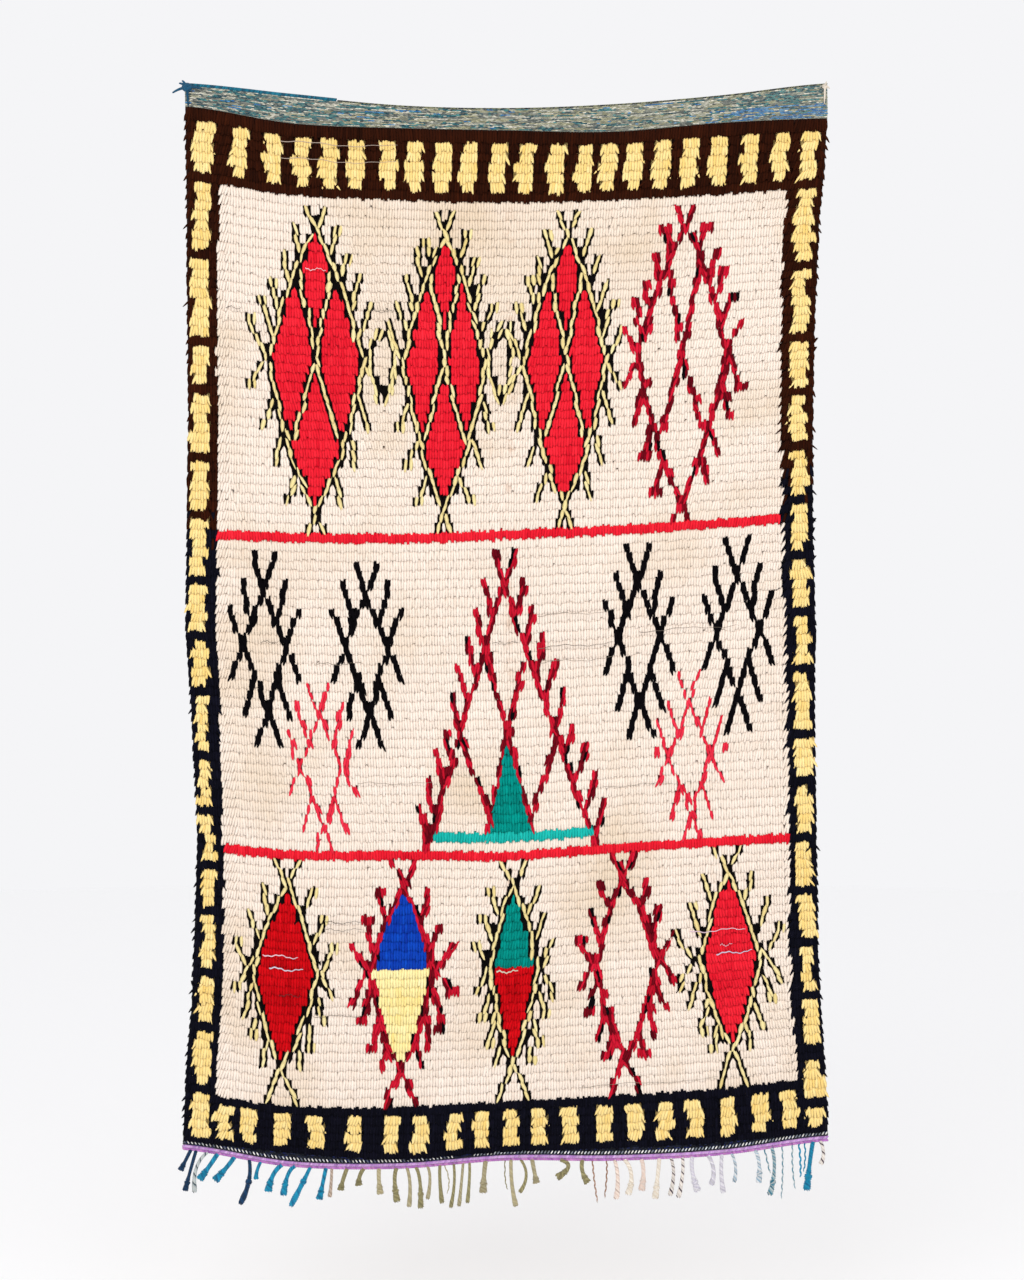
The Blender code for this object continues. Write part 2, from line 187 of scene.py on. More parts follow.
print("chart of", chart.size, "knots in", PILE_ROWS, "rows")

# %% [markdown]
# The large lozenges share one build. Two edges start as horns, cross at the head, spread to the
# widest row, close and cross again at the foot, and end as two feet. The edges bulge a little, which
# a short profile says. Inside the lozenges of the upper band, two lines leave the edges, meet in the
# middle and part again. Barbs stand outside, upwards above the widest row and downwards below it.
# Each lozenge is then a row of a table.

# %% Lozenges with barbs
Lozenge = namedtuple("Lozenge", "middle left right reach yarns fills")
Band = namedtuple("Band", "horn apex widest foot feet spread barbs_up barbs_down first_barb "
                          "last_barb first_up last_up first_down last_down crossed")
UPPER_BAND = Band(9.3, 11.0, 25.3, 41.2, 43.4, 2.8, 5, 4, 7.6, 9.5, 11.2, 21.4, 28.3, 39.8, True)
LOWER_BAND = Band(78.5, 81.3, 91.0, 101.4, 104.6, 4.8, 3, 4, 8.8, 6.8, 81.9, 88.2, 93.4, 101.2,
                  False)
PROFILE_DOWN = (0.0, 0.15, 0.35, 0.5, 0.7, 1.0)
PROFILE_OUT = (0.0, 0.23, 0.48, 0.62, 0.79, 1.0)
INNER_LINE = ((0.22, 0.34), (0.4, 0.32), (0.65, 0.16), (0.92, 0.02), (1.0, 0.02))
INNER_END = 0.46
BARB_ROWS = 3.0
FAR_BARB_ROWS = 4.2
FORKED_SHARE = 0.4
BARB_STRAY = 0.4
BARB_RAGGED = 0.6
EDGE_RAGGED = 0.5
UPPER_LOZENGES = (
    Lozenge(46.2, 17.3, 17.3, 6.4, EDGED, ((Y.red, 12.0, 40.2),)),
    Lozenge(93.0, 14.6, 14.6, 5.8, EDGED, ((Y.red, 12.0, 40.2),)),
    Lozenge(137.0, 15.0, 15.0, 5.2, EDGED, ((Y.red, 11.6, 40.2),)),
    Lozenge(179.2, 15.8, 16.2, 5.0, WINE, ()),
)
LOWER_LOZENGES = (
    Lozenge(33.5, 12.2, 11.2, 6.0, EDGED, ((Y.scarlet, 82.0, 100.6),)),
    Lozenge(76.0, 11.8, 11.0, 6.5, WINE, ((Y.blue, 82.0, 90.2), (Y.primrose, 91.0, 100.6))),
    Lozenge(116.0, 8.3, 8.9, 5.0, EDGED, ((Y.teal, 82.0, 90.2), (Y.scarlet, 91.0, 100.0))),
    Lozenge(156.0, 9.5, 12.4, 6.0, WINE, ()),
    Lozenge(194.7, 10.4, 11.2, 8.0, EDGED, ((Y.red, 82.4, 101.0),)),
)


def half_width(band, seen):
    """Share of a lozenge's half width that its edge has reached at a row as seen."""
    tip = band.apex if seen <= band.widest else band.foot
    return np.interp((seen - tip) / (band.widest - tip), PROFILE_DOWN, PROFILE_OUT)


def barbs(lozenge, band):
    """Barbs outside the edges, each a short line from its tip to the edge a few rows nearer."""
    for side, half in ((-1, lozenge.left), (1, lozenge.right)):
        far = half + lozenge.reach
        for count, near, first, last, way in (
            (band.barbs_up, band.first_barb, band.first_up, band.last_up, 1),
            (band.barbs_down, band.last_barb, band.last_down, band.first_down, -1),
        ):
            for share in np.linspace(0.0, 1.0, count):
                offset = near + share * (far - near)
                seen = first + share * (last - first) + dice.uniform(-BARB_STRAY, BARB_STRAY)
                length = way * (BARB_ROWS + share * (FAR_BARB_ROWS - BARB_ROWS))
                root = half * half_width(band, seen + length)
                line(lozenge.yarns, (lozenge.middle + side * offset, seen),
                     (lozenge.middle + side * root, seen + length), ragged=BARB_RAGGED)
                if dice.random() < FORKED_SHARE:
                    knots_in_row(round(seen - SEEN_UNDER), lozenge.middle + side * offset,
                                 lozenge.yarns[:2] * 2, side * way * dice.uniform(-1.0, 0.4))


def lozenge_edge(lozenge, band, side):
    """The place across of one edge, as a function of the row as seen."""
    half = lozenge.left if side < 0 else lozenge.right
    return lambda seen: lozenge.middle + side * half * half_width(band, seen)


def tie_lozenge(lozenge, band):
    """Fill, barbs, inner lines and edges, in the order in which they cover each other."""
    for yarn, first, last in lozenge.fills:
        fill(yarn, first, last, lozenge_edge(lozenge, band, -1), lozenge_edge(lozenge, band, 1))
    barbs(lozenge, band)
    middle, head, foot = lozenge.middle, band.widest - band.apex, band.foot - band.widest
    for side, half in ((-1, lozenge.left), (1, lozenge.right)):
        if band.crossed:
            upper = [(middle + side * half * out, band.apex + down * head)
                     for down, out in INNER_LINE]
            line(lozenge.yarns, *upper, (middle + side * half * INNER_END,
                                         band.widest + 0.5 * foot))
        down = [(middle + side * half * out, band.apex + share * head)
                for share, out in zip(PROFILE_DOWN, PROFILE_OUT)]
        up = [(middle + side * half * out, band.foot - share * foot)
              for share, out in zip(PROFILE_DOWN[-2::-1], PROFILE_OUT[-2::-1])]
        line(lozenge.yarns, (middle - side * band.spread, band.horn), *down, *up,
             (middle - side * band.spread, band.feet), ragged=EDGE_RAGGED)


for band, lozenges in ((UPPER_BAND, UPPER_LOZENGES), (LOWER_BAND, LOWER_LOZENGES)):
    for lozenge in lozenges:
        tie_lozenge(lozenge, band)
print("lozenge knots", int((chart != Y.cream).sum()))

# %% [markdown]
# Between the first three lozenges hang two small links of a chain, which are only two bowed lines. The
# middle band has smaller lozenges without a fill: they are a lattice, four long slanting lines that
# cross, with four short barbs. One pair is dyed coral, sits lower than the rest and runs on to the
# red row below it, and two coral knots lie loose on either side of one of them.

# %% Chain links and lattice lozenges
CHAIN_LINKS = ((70.2, 21.9, 28.6, 3.9), (113.2, 21.8, 28.6, 3.7))
Lattice = namedtuple("Lattice", "middle horn tall yarns")
LATTICES = (
    Lattice(27.7, 46.4, 1.0, DARK), Lattice(64.8, 46.5, 1.0, DARK),
    Lattice(163.6, 46.2, 1.0, DARK), Lattice(199.3, 46.2, 1.0, DARK),
    Lattice(46.3, 59.7, 0.93, ROSE), Lattice(181.5, 59.8, 0.93, ROSE),
)
LATTICE_LINES = (
    ((3.7, 0.0), (0.0, 3.5), (-12.0, 12.6)),
    ((-12.0, 5.6), (4.2, 19.9)),
    ((-8.0, 2.8), (-4.6, 6.8)),
    ((-8.0, 16.6), (-4.0, 12.9)),
)
LAST_CORAL_ROW = 76
LINK_TOP_IN = 1.6
LINK_FOOT_IN = 2.4
LOOSE_PAIR_ROW = 67
LOOSE_PAIRS = ((168.4, 170.0), (193.0, 195.4))

for middle, head, foot, half in CHAIN_LINKS:
    for side, yarns in ((-1, (Y.butter, Y.black)), (1, (Y.black, Y.butter))):
        line(yarns, (middle + side * (half - LINK_TOP_IN), head), (middle + side * half, head + 2.0),
             (middle + side * half, foot - 2.6), (middle + side * (half - LINK_FOOT_IN), foot))
for lattice in LATTICES:
    for side in (-1, 1):
        for places in LATTICE_LINES:
            line(lattice.yarns, *((lattice.middle - side * across,
                                   lattice.horn + lattice.tall * down) for across, down in places))
below = (np.arange(PILE_ROWS)[:, None] > LAST_CORAL_ROW) & np.isin(chart, (Y.coral, Y.cream))
chart[below] = Y.cream
slopes[below] = np.nan
for first, last in LOOSE_PAIRS:
    knots_in_row(LOOSE_PAIR_ROW, 0.5 * (first + last), ROSE * 2)
print("knots that aren't cream", int((chart != Y.cream).sum()))

# %% [markdown]
# The tall tent in the middle band is one wide angle with nine barbs on each side, four lines inside
# it of which two cross, and a small teal triangle over a brighter bar at its foot. Two red rows part
# the three bands from each other, and four crimson knots stray beside a lozenge of the last band.

# %% The tent and the red rows
TENT_MIDDLE = 114.8
TENT_APEX = 49.2
TENT_FOOT = 77.0
TENT_HORN = (3.5, 46.2)
TENT_SPREAD = 1.1
TENT_BARBS = 9
FIRST_BARB = (6.7, 49.4)
BARB_STEP = 3.0
BARB_SPREAD = 1.13
LOPSIDED = 0.04
TENT_BARB_ROWS = 3.6
TENT_INNER = (
    ((108.4, 57.4), (114.9, 65.0), (123.4, 75.4)), ((121.1, 57.6), (114.9, 65.0), (106.4, 75.6)),
    ((98.3, 66.3), (108.0, 74.4)), ((132.7, 65.8), (122.6, 73.9)),
)
TEAL_APEX = 66.4
TEAL_SPREAD = 0.82
BARS = ((75, 87, 146, Y.aqua), (43, 11, 217, Y.red), (77, 10, 218, Y.red), (96, 88, 92, Y.crimson))

for side in (-1, 1):
    for barb in range(TENT_BARBS):
        seen = FIRST_BARB[1] + BARB_STEP * barb
        tip = FIRST_BARB[0] + (BARB_SPREAD + LOPSIDED * side) * BARB_STEP * barb
        root = TENT_SPREAD * (seen + TENT_BARB_ROWS - TENT_APEX)
        line(WINE, (TENT_MIDDLE + side * tip, seen),
             (TENT_MIDDLE + side * root, seen + TENT_BARB_ROWS))
    line(WINE, (TENT_MIDDLE - side * TENT_HORN[0], TENT_HORN[1]), (TENT_MIDDLE, TENT_APEX),
         (TENT_MIDDLE + side * TENT_SPREAD * (TENT_FOOT - TENT_APEX), TENT_FOOT))
for points in TENT_INNER:
    line(WINE, *points)
fill(Y.teal, 67.0, 75.2, lambda seen: TENT_MIDDLE - TEAL_SPREAD * (seen - TEAL_APEX),
     lambda seen: TENT_MIDDLE + TEAL_SPREAD * (seen - TEAL_APEX))
for row, first, end, yarn in BARS:
    chart[row, first:end] = yarn
print("rows with red", np.flatnonzero((chart == Y.red).any(axis=1)).tolist())

# %% [markdown]
# The border is a frame of straw-coloured blocks on a dark ground. The dark wool is a warm brown at
# the head, and the weaver ran out of it a third of the way down and went on with blue-black, a
# little sooner on the right. At the sides single dark rows part the blocks. Their edges wander by a
# knot, because they are counted by eye, and each row of a block is combed at its own slant.

# %% The border
LEFT_PARTINGS = (0, 6, 14, 23, 28, 35, 41, 48, 54, 60, 67, 73, 79, 84, 91, 97, 104, 110)
RIGHT_PARTINGS = (0, 6, 15, 23, 29, 35, 41, 47, 53, 59, 66, 71, 77, 83, 89, 95, 101, 102, 107, 110)
TOP_BLOCKS = (19.2, 31.0, 40.9, 50.9, 60.9, 71.6, 81.6, 91.2, 100.9, 111.2, 121.5, 131.9, 141.5,
              150.4, 159.7, 169.7, 179.7, 190.0, 200.7, 211.7)
FOOT_BLOCKS = (13.6, 22.6, 34.2, 46.0, 59.1, 72.9, 82.8, 94.9, 105.5, 115.1, 125.4, 136.4, 148.1,
               158.4, 170.1, 180.4, 191.4, 203.5, 214.2)
BORDER_KNOTS = 11
DARK_CHANGES = {"left": 42, "right": 39}
EDGE_PLACES = (0, 8, 12, 30, 51, 59, 69, 76, 88, 96, 110)
LEFT_INNER = (12.0, 12.0, 11.2, 10.6, 11.3, 10.9, 9.9, 9.4, 11.2, 11.0, 10.6)
RIGHT_INNER = (215.2, 215.2, 215.2, 216.2, 216.9, 217.3, 218.0, 217.8, 217.5, 217.5, 217.9)
LEFT_BLOCKS = ((0, 4.2, 10.6), (3, 2.2, 10.0), (8, 3.2, 9.2), (14, 2.2, 8.0), (30, 1.5, 7.4),
               (55, 1.4, 7.4), (66, 1.2, 5.7), (75, 1.3, 5.7), (79, 2.3, 7.4), (92, 2.4, 7.8),
               (110, 2.8, 9.2))
RIGHT_BLOCKS = ((0, 3.4, 9.2), (8, 2.6, 9.0), (45, 2.2, 8.2), (60, 1.6, 7.6), (75, 1.7, 7.4),
                (80, 2.2, 7.8), (88, 1.7, 6.8), (96, 1.2, 6.6), (110, 1.3, 8.0))
DARK_ROWS = (*range(7), *range(105, PILE_ROWS))
TOP_WIDTHS = {1: 6, 2: 6, 3: 7, 4: 7, 5: 5}
FOOT_BLOCK_ROWS = range(106, 110)
NARROWER_SHARE = 0.3
CHANGE_SPREAD = 1.5
BLOCK_WANDER = 0.4
TOP_ROW_WANDER = 0.3
WIDE_ROW_SHIFT = -0.6
FOOT_ROW_WANDER = 0.8
START_WANDER = 0.7
END_WANDER = 0.5
ROW_SLANT = 0.35


def dark_wool(row, side):
    """Brown above the change of wool and blue-black below it, mixed for a few rows between."""
    return Y.brown if row + dice.normal(0.0, CHANGE_SPREAD) < DARK_CHANGES[side] else Y.ink


for row in range(PILE_ROWS):
    inner_left = round(np.interp(row, EDGE_PLACES, LEFT_INNER) + dice.uniform(-0.5, 0.5))
    inner_right = round(np.interp(row, EDGE_PLACES, RIGHT_INNER) + dice.uniform(-0.5, 0.5))
    chart[row, :inner_left] = [dark_wool(row, "left") for knot in range(inner_left)]
    chart[row, inner_right:] = [dark_wool(row, "right") for knot in range(KNOTS - inner_right)]
for row in DARK_ROWS:
    for knot in range(BORDER_KNOTS - 2, KNOTS - BORDER_KNOTS + 2):
        chart[row, knot] = dark_wool(row, "left")
for middle in TOP_BLOCKS:
    own = dice.uniform(-BLOCK_WANDER, BLOCK_WANDER)
    for row, wide in TOP_WIDTHS.items():
        shift = own + (WIDE_ROW_SHIFT if wide == 7 else 0.0)
        shift += dice.uniform(-TOP_ROW_WANDER, TOP_ROW_WANDER)
        narrower = int(dice.random() < NARROWER_SHARE)
        knots_in_row(row, middle + shift, (Y.straw,) * (wide - narrower),
                     dice.normal(0.0, ROW_SLANT))
for middle in FOOT_BLOCKS:
    for row in FOOT_BLOCK_ROWS:
        shift = dice.uniform(-FOOT_ROW_WANDER, FOOT_ROW_WANDER)
        knots_in_row(row, middle + shift, (Y.straw,) * int(dice.integers(5, 7)),
                     dice.normal(0.0, 2 * ROW_SLANT))
for row in range(1, PILE_ROWS - 1):
    for blocks, partings, right in ((LEFT_BLOCKS, LEFT_PARTINGS, False),
                                    (RIGHT_BLOCKS, RIGHT_PARTINGS, True)):
        keys, starts, ends = zip(*blocks)
        first = max(round(np.interp(row, keys, starts) + dice.normal(0.0, START_WANDER)), 0)
        last = round(np.interp(row, keys, ends) + dice.normal(0.0, END_WANDER))
        if row not in partings:
            block = slice(KNOTS - last, KNOTS - first) if right else slice(first, last)
            chart[row, block] = Y.straw
            slopes[row, block] = dice.normal(0.0, ROW_SLANT)
print("straw knots", int((chart == Y.straw).sum()))

# %% [markdown]
# Hand-spun yarn isn't even in colour. The crimson yarn is plied with a darker wine one, so a third
# of its knots look dark and a few look black, and the crimson and coral lines are a knot wider here
# and there. All of it is settled by a seeded draw of lots, so the rug comes out the same each time.

# %% Uneven yarns
WIDE_SHARE = 0.3
WINE_SHARE = 0.42
JET_SHARE = 0.06
for yarn in (Y.coral, Y.crimson):
    spread = np.roll((chart == yarn) & (dice.random(chart.shape) < WIDE_SHARE), 1, axis=1)
    spread &= chart == Y.cream
    chart[spread] = yarn
    slopes[spread] = np.roll(slopes, 1, axis=1)[spread]
lot = dice.random(chart.shape)
plied = chart == Y.crimson
chart[plied & (lot < WINE_SHARE)] = Y.wine
chart[plied & (lot < JET_SHARE)] = Y.jet
for number, name in enumerate(YARNS):
    print(name, int((chart == number).sum()))

# %% [markdown]
# Every yarn on the rug is a closed tube at heart: a lock of pile, a twist of cord, a strand of
# fringe. A ring of corners is extruded along an axis to make one. Its UV map is written while it is
# still straight, as if the tube were slit and rolled out flat, so that a fibre pattern can follow
# the yarn wherever it bends. The lock's end is split in two and pulled to points, as cut wool is.

# %% Templates for yarn
Template = namedtuple("Template", "points faces uvs")
SPLIT_AT = 0.92
POINT_ASIDE = 0.75


def tube(sides, stations):
    """A closed tube of unit radius round the y axis, with a ring at each station from 0 to 1."""
    bm = bmesh.new()
    bmesh.ops.create_circle(bm, cap_ends=True, segments=sides, radius=1.0)
    bmesh.ops.rotate(bm, verts=bm.verts, matrix=Matrix.Rotation(math.radians(-90.0), 3, "X"))
    bm.faces.ensure_lookup_table()
    made = bmesh.ops.extrude_face_region(bm, geom=[bm.faces[0]])["geom"]
    end = next(item for item in made if isinstance(item, bmesh.types.BMFace))
    bmesh.ops.translate(bm, verts=end.verts, vec=Vector((0.0, stations[1] - stations[0], 0.0)))
    for here, there in zip(stations[1:], stations[2:]):
        end = bmesh.ops.extrude_discrete_faces(bm, faces=[end])["faces"][0]
        bmesh.ops.translate(bm, verts=end.verts, vec=Vector((0.0, there - here, 0.0)))
    return bm, end


def as_template(bm):
    """Write the unrolled UVs and turn a small bmesh into arrays that can be repeated."""
    bmesh.ops.recalc_face_normals(bm, faces=bm.faces)
    bmesh.ops.triangulate(bm, faces=bm.faces)
    bm.verts.index_update()
    points = np.array([vert.co[:] for vert in bm.verts])
    faces = np.array([[vert.index for vert in face.verts] for face in bm.faces])
    turns = np.arctan2(points[:, 2], points[:, 0]) / (2 * math.pi)
    uvs = []
    for face in faces:
        start = turns[face[0]]
        around = [start + (turns[corner] - start + 0.5) % 1.0 - 0.5 for corner in face]
        around = [value - math.floor(min(around)) for value in around]
        uvs.append([(value, points[corner, 1]) for value, corner in zip(around, face)])
    bm.free()
    return Template(points, faces, np.array(uvs))


def forked_lock():
    """A flat lock of four sides whose end is split into two points."""
    bm, end = tube(4, (0.0, 0.2, 0.66))
    spine = [vert for vert in end.verts if abs(vert.co.x) < 0.1]
    bmesh.ops.connect_vert_pair(bm, verts=spine)
    ends = [face for face in bm.faces if face.normal.y > 0.9]
    tips = bmesh.ops.poke(bm, faces=ends)["verts"]
    for vert in spine:
        vert.co.y = SPLIT_AT
    for vert in tips:
        vert.co = Vector((math.copysign(POINT_ASIDE, vert.co.x), 1.0, 0.0))
    return as_template(bm)


def strand(sides, rings):
    """A round strand that ends in a point, with its rings evenly spaced."""
    bm, end = tube(sides, [step / rings for step in range(rings)])
    tip = bmesh.ops.poke(bm, faces=[end])["verts"][0]
    tip.co.y = 1.0
    return as_template(bm)


def bead(sides, rings):
    """A round-ended stitch along the y axis, from -1 to 1."""
    bm = bmesh.new()
    bmesh.ops.create_uvsphere(bm, u_segments=sides, v_segments=rings, radius=1.0)
    bmesh.ops.rotate(bm, verts=bm.verts, matrix=Matrix.Rotation(math.radians(-90.0), 3, "X"))
    return as_template(bm)


LOCK = forked_lock()
STITCH = bead(5, 4)
print("lock", len(LOCK.faces), "faces, stitch", len(STITCH.faces), "faces")

# %% [markdown]
# Thousands of locks would be slow as objects, so the copies of a template become one mesh: their
# points are stacked in one array and the faces follow with an offset. Every copy carries its own
# shade and its own seed for the materials, and its own cell in a second UV map, where a baked
# texture has room for it.

# %% Many copies in one mesh
CELL_MARGIN = 0.04


def write(data, key, values, kind=np.float32):
    """Give every element of a mesh its value at once."""
    data.foreach_set(key, np.asarray(values).astype(kind).ravel())


def put_in_scene(name, data):
    """An object for a mesh, a light or a camera, at the origin."""
    thing = bpy.data.objects.new(name, data)
    bpy.context.scene.collection.objects.link(thing)
    return thing


def joined(name, template, points, shade, seed, finish, tint=None):
    """Make one object from copies of a template, whose points are already in the room."""
    copies, corners_each = points.shape[:2]
    faces_each = len(template.faces)
    faces = (template.faces[None] + corners_each * np.arange(copies)[:, None, None]).reshape(-1, 3)
    mesh = bpy.data.meshes.new(name)
    mesh.vertices.add(copies * corners_each)
    write(mesh.vertices, "co", points)
    mesh.loops.add(faces.size)
    write(mesh.loops, "vertex_index", faces, np.int32)
    mesh.polygons.add(len(faces))
    write(mesh.polygons, "loop_start", np.arange(0, faces.size, 3), np.int32)
    mesh.update(calc_edges=True)
    spread = np.broadcast_to(template.uvs.reshape(1, -1, 2), (copies, faces_each * 3, 2))
    write(mesh.uv_layers.new(name="Lock").data, "uv", spread)
    side = math.ceil(math.sqrt(copies))
    cell = np.column_stack([np.arange(copies) % side, np.arange(copies) // side])
    low, high = template.uvs.min(axis=(0, 1)), template.uvs.max(axis=(0, 1))
    inside = (template.uvs.reshape(-1, 2) - low) / (high - low)
    inside = CELL_MARGIN + (1 - 2 * CELL_MARGIN) * inside
    write(mesh.uv_layers.new(name="OFBake").data, "uv", (cell[:, None] + inside[None]) / side)
    for label, values in (("shade", shade), ("seed", seed)):
        layer = mesh.attributes.new(label, "FLOAT", "POINT")
        write(layer.data, "value", np.repeat(values, corners_each))
    if tint is not None:
        layer = mesh.attributes.new("tint", "FLOAT_COLOR", "POINT")
        rgba = np.column_stack([tint, np.ones(copies)])
        write(layer.data, "color", np.repeat(rgba, corners_each, axis=0))
    mesh.shade_smooth()
    mesh.materials.append(finish)
    thing = put_in_scene(name, mesh)
    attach(thing, "root")
    print(name, copies, "copies,", len(faces), "triangles")
    return thing


# %% [markdown]
# All the yarn is sheep's wool, dyed or not. Wool scatters light, so it has no clear highlight: a
# rough surface with a little sheen for the loose fibres. Every finish is a few small steps, and each
# step adds one node: its inputs are constants or the outputs of earlier nodes.

# %% Small steps for finishes
def linear(code):
    """Turn an sRGB hex colour into the linear values that Blender mixes."""
    values = [int(code[start:start + 2], 16) / 255 for start in (0, 2, 4)]
    return (*(v / 12.92 if v < 0.04045 else ((v + 0.055) / 1.055) ** 2.4 for v in values), 1.0)


def feed(tree, socket, value):
    """Give an input a constant, or a link from the output of another node."""
    if isinstance(value, bpy.types.NodeSocket):
        tree.links.new(value, socket)
    else:
        socket.default_value = value


def add(tree, kind, inputs=None, **settings):
    """Add a node, set its properties and feed its inputs."""
    node = tree.nodes.new("ShaderNode" + kind)
    for key, value in settings.items():
        setattr(node, key, value)
    for key, value in (inputs or {}).items():
        feed(tree, node.inputs[key], value)
    return node


def maths(tree, operation, *inputs, clamp=False):
    """One sum, product or other operation on numbers."""
    return add(tree, "Math", dict(enumerate(inputs)), operation=operation,
               use_clamp=clamp).outputs[0]


def vectors(tree, operation, *inputs):
    """The same for vectors, with all the outputs of its node."""
    return add(tree, "VectorMath", dict(enumerate(inputs)), operation=operation).outputs


def mixed(tree, share, one, other):
    """A colour between two others."""
    return add(tree, "Mix", {0: share, 6: one, 7: other}, data_type="RGBA").outputs[2]


def ranged(tree, value, *limits):
    """Map a value from a range to another: from low, from high, to low, to high."""
    return add(tree, "MapRange", dict(enumerate((value, *limits)))).outputs[0]


def noise(tree, vector, scale, detail, rough=0.5):
    """A cloudy pattern from 0 to 1."""
    return add(tree, "TexNoise", {"Vector": vector, "Scale": scale, "Detail": detail,
                                  "Roughness": rough}).outputs["Fac"]


def new_finish(name, roughness, sheen, specular=0.2):
    """A material whose constants sit on the shader's own sockets."""
    finish = bpy.data.materials.new(name)
    finish.use_nodes = True
    shader = finish.node_tree.nodes["Principled BSDF"]
    for key, value in (("Roughness", roughness), ("Metallic", 0.0), ("IOR", 1.5),
                       ("Specular IOR Level", specular), ("Sheen Weight", sheen),
                       ("Sheen Roughness", 0.6)):
        shader.inputs[key].default_value = value
    return finish, finish.node_tree, shader


def cover(tree, shader, colour, height, strength, depth):
    """Lead a colour and a bump into the shader."""
    raised = add(tree, "Bump", {"Strength": strength, "Distance": depth, "Height": height})
    feed(tree, shader.inputs["Base Color"], colour)
    feed(tree, shader.inputs["Normal"], raised.outputs[0])


red_knot = [round(value, 3) for value in linear("d00c22")]
print("a red, made linear", red_knot)

# %% [markdown]
# One build serves every dye. Two shades of the dye are mixed by the lock's own shade and by fine
# streaks that run along its fibres, and the same streaks make a shallow bump. Hand-spun fibres would
# be too fine to show, so a streak is drawn about a millimetre wide. The undyed wool has yellowed in
# places. Large soft clouds, a third of a metre wide, pull its colour towards beige, and the upper
# middle is a patch of the same beige. A crease down the middle has caught a thin line of rust-brown
# dirt. All of these are read in the room's coordinates, because a stain doesn't stop at a knot.

# %% Dyed wool, and the stains on the undyed wool
STREAK_WIDE = 1.1 * MM
STREAK_LONG = 9.0 * MM
LOCK_ROUND = 14.0 * MM
LOCK_LONG = 24.0 * MM
WOOL_ROUGH = 0.95
CREASE_X = 9.0 * MM
CREASE_HALF = 14.0 * MM
CLOUD_SCALE = 3.2
SPOT_SCALE = 34.0
PATCH_MIDDLE = (0.0, 0.0, -0.3)
PATCH_REACH = 0.42
LOCK_SWAY = 0.9
LOCK_BUMP = (0.28, 0.6 * MM)


def streaks(tree, around, along):
    """Noise drawn out along the yarn, different on each copy."""
    unrolled = add(tree, "UVMap", uv_map="Lock").outputs["UV"]
    seed = add(tree, "Attribute", attribute_name="seed").outputs["Vector"]
    scaled = vectors(tree, "MULTIPLY", unrolled, (around / STREAK_WIDE, along / STREAK_LONG, 0.0))
    moved = vectors(tree, "ADD", scaled[0], seed)
    return noise(tree, moved[0], 1.0, 2.0, 0.6)


def shade_of(tree, fibres, depth):
    """The lock's own shade, swayed by its fibres, from 0 to 1."""
    own = add(tree, "Attribute", attribute_name="shade").outputs["Fac"]
    sway = maths(tree, "MULTIPLY_ADD", fibres, depth, -0.5 * depth)
    return maths(tree, "ADD", own, sway, clamp=True)


def wool(name, deep, light, sheen, specular, stain):
    """Dyed sheep's wool in two shades of one dye."""
    finish, tree, shader = new_finish(name, WOOL_ROUGH, sheen, specular)
    fibres = streaks(tree, LOCK_ROUND, LOCK_LONG)
    colour = mixed(tree, shade_of(tree, fibres, LOCK_SWAY), linear(deep), linear(light))
    if stain is not None:
        colour = stain(tree, colour)
    cover(tree, shader, colour, fibres, *LOCK_BUMP)
    return finish


def aged(tree, colour):
    """Beige clouds, a beige patch and a dirty crease over the wool's own colour."""
    room = add(tree, "TexCoord").outputs["Object"]
    cloud = ranged(tree, noise(tree, room, CLOUD_SCALE, 3.0, 0.6), 0.5, 0.72, 0.0, 0.55)
    far = vectors(tree, "DISTANCE", room, PATCH_MIDDLE)["Value"]
    patch = ranged(tree, far, 0.05, PATCH_REACH, 0.34, 0.0)
    beige = mixed(tree, maths(tree, "ADD", cloud, patch, clamp=True), colour, linear("dcc3a0"))
    across = add(tree, "SeparateXYZ", {0: room}).outputs["X"]
    aside = maths(tree, "ABSOLUTE", maths(tree, "SUBTRACT", across, CREASE_X))
    near = ranged(tree, aside, 0.0, CREASE_HALF, 1.0, 0.0)
    spot = ranged(tree, noise(tree, room, SPOT_SCALE, 2.0, 0.7), 0.52, 0.72, 0.0, 0.5)
    return mixed(tree, maths(tree, "MULTIPLY", near, spot), beige, linear("b9875a"))


DYES = {
    "cream": ("eddac8", "faebdd"), "brown": ("160602", "3c1707"), "ink": ("040409", "11111f"),
    "straw": ("f0c86c", "ffe7a2"), "butter": ("dcc278", "f6e8ae"), "black": ("050404", "100c0c"),
    "jet": ("030204", "0b080c"), "red": ("d00c22", "fc2c3c"), "scarlet": ("a60208", "e20c18"),
    "crimson": ("9a0718", "dc1c38"), "wine": ("3a020a", "860a1c"),
    "coral": ("d0182e", "ee3a50"), "teal": ("006c64", "00a094"), "blue": ("08228c", "1050c8"),
    "primrose": ("f8dc84", "fff4b8"), "aqua": ("0a9a90", "24c6ba"),
}
PALE_DYES = ("cream", "straw", "butter", "primrose")
PALE_SHINE = (0.08, 0.2)
DEEP_SHINE = (0.0, 0.06)
WOOLS = {}
for name, shades in DYES.items():
    shine = PALE_SHINE if name in PALE_DYES else DEEP_SHINE
    WOOLS[name] = wool("dyed_wool_" + name, *shades, *shine, aged if name == "cream" else None)
print("dyes", sorted(WOOLS))

# %% [markdown]
# A knotted lock leaves its knot, rises and lies down over the row below. The nap leans, because the
# weaver pulled each row to one side when cutting it, so the lean drifts slowly over the rug, is
# strongest at the inner edges of the borders and strays a little from lock to lock. The locks of a
# drawn line follow its slant and come to a point, so that a stroke of many short locks reads as one.
# The locks at the two ends of a block's rows splay out and are pointed too, and the last row of all
# is cut short.

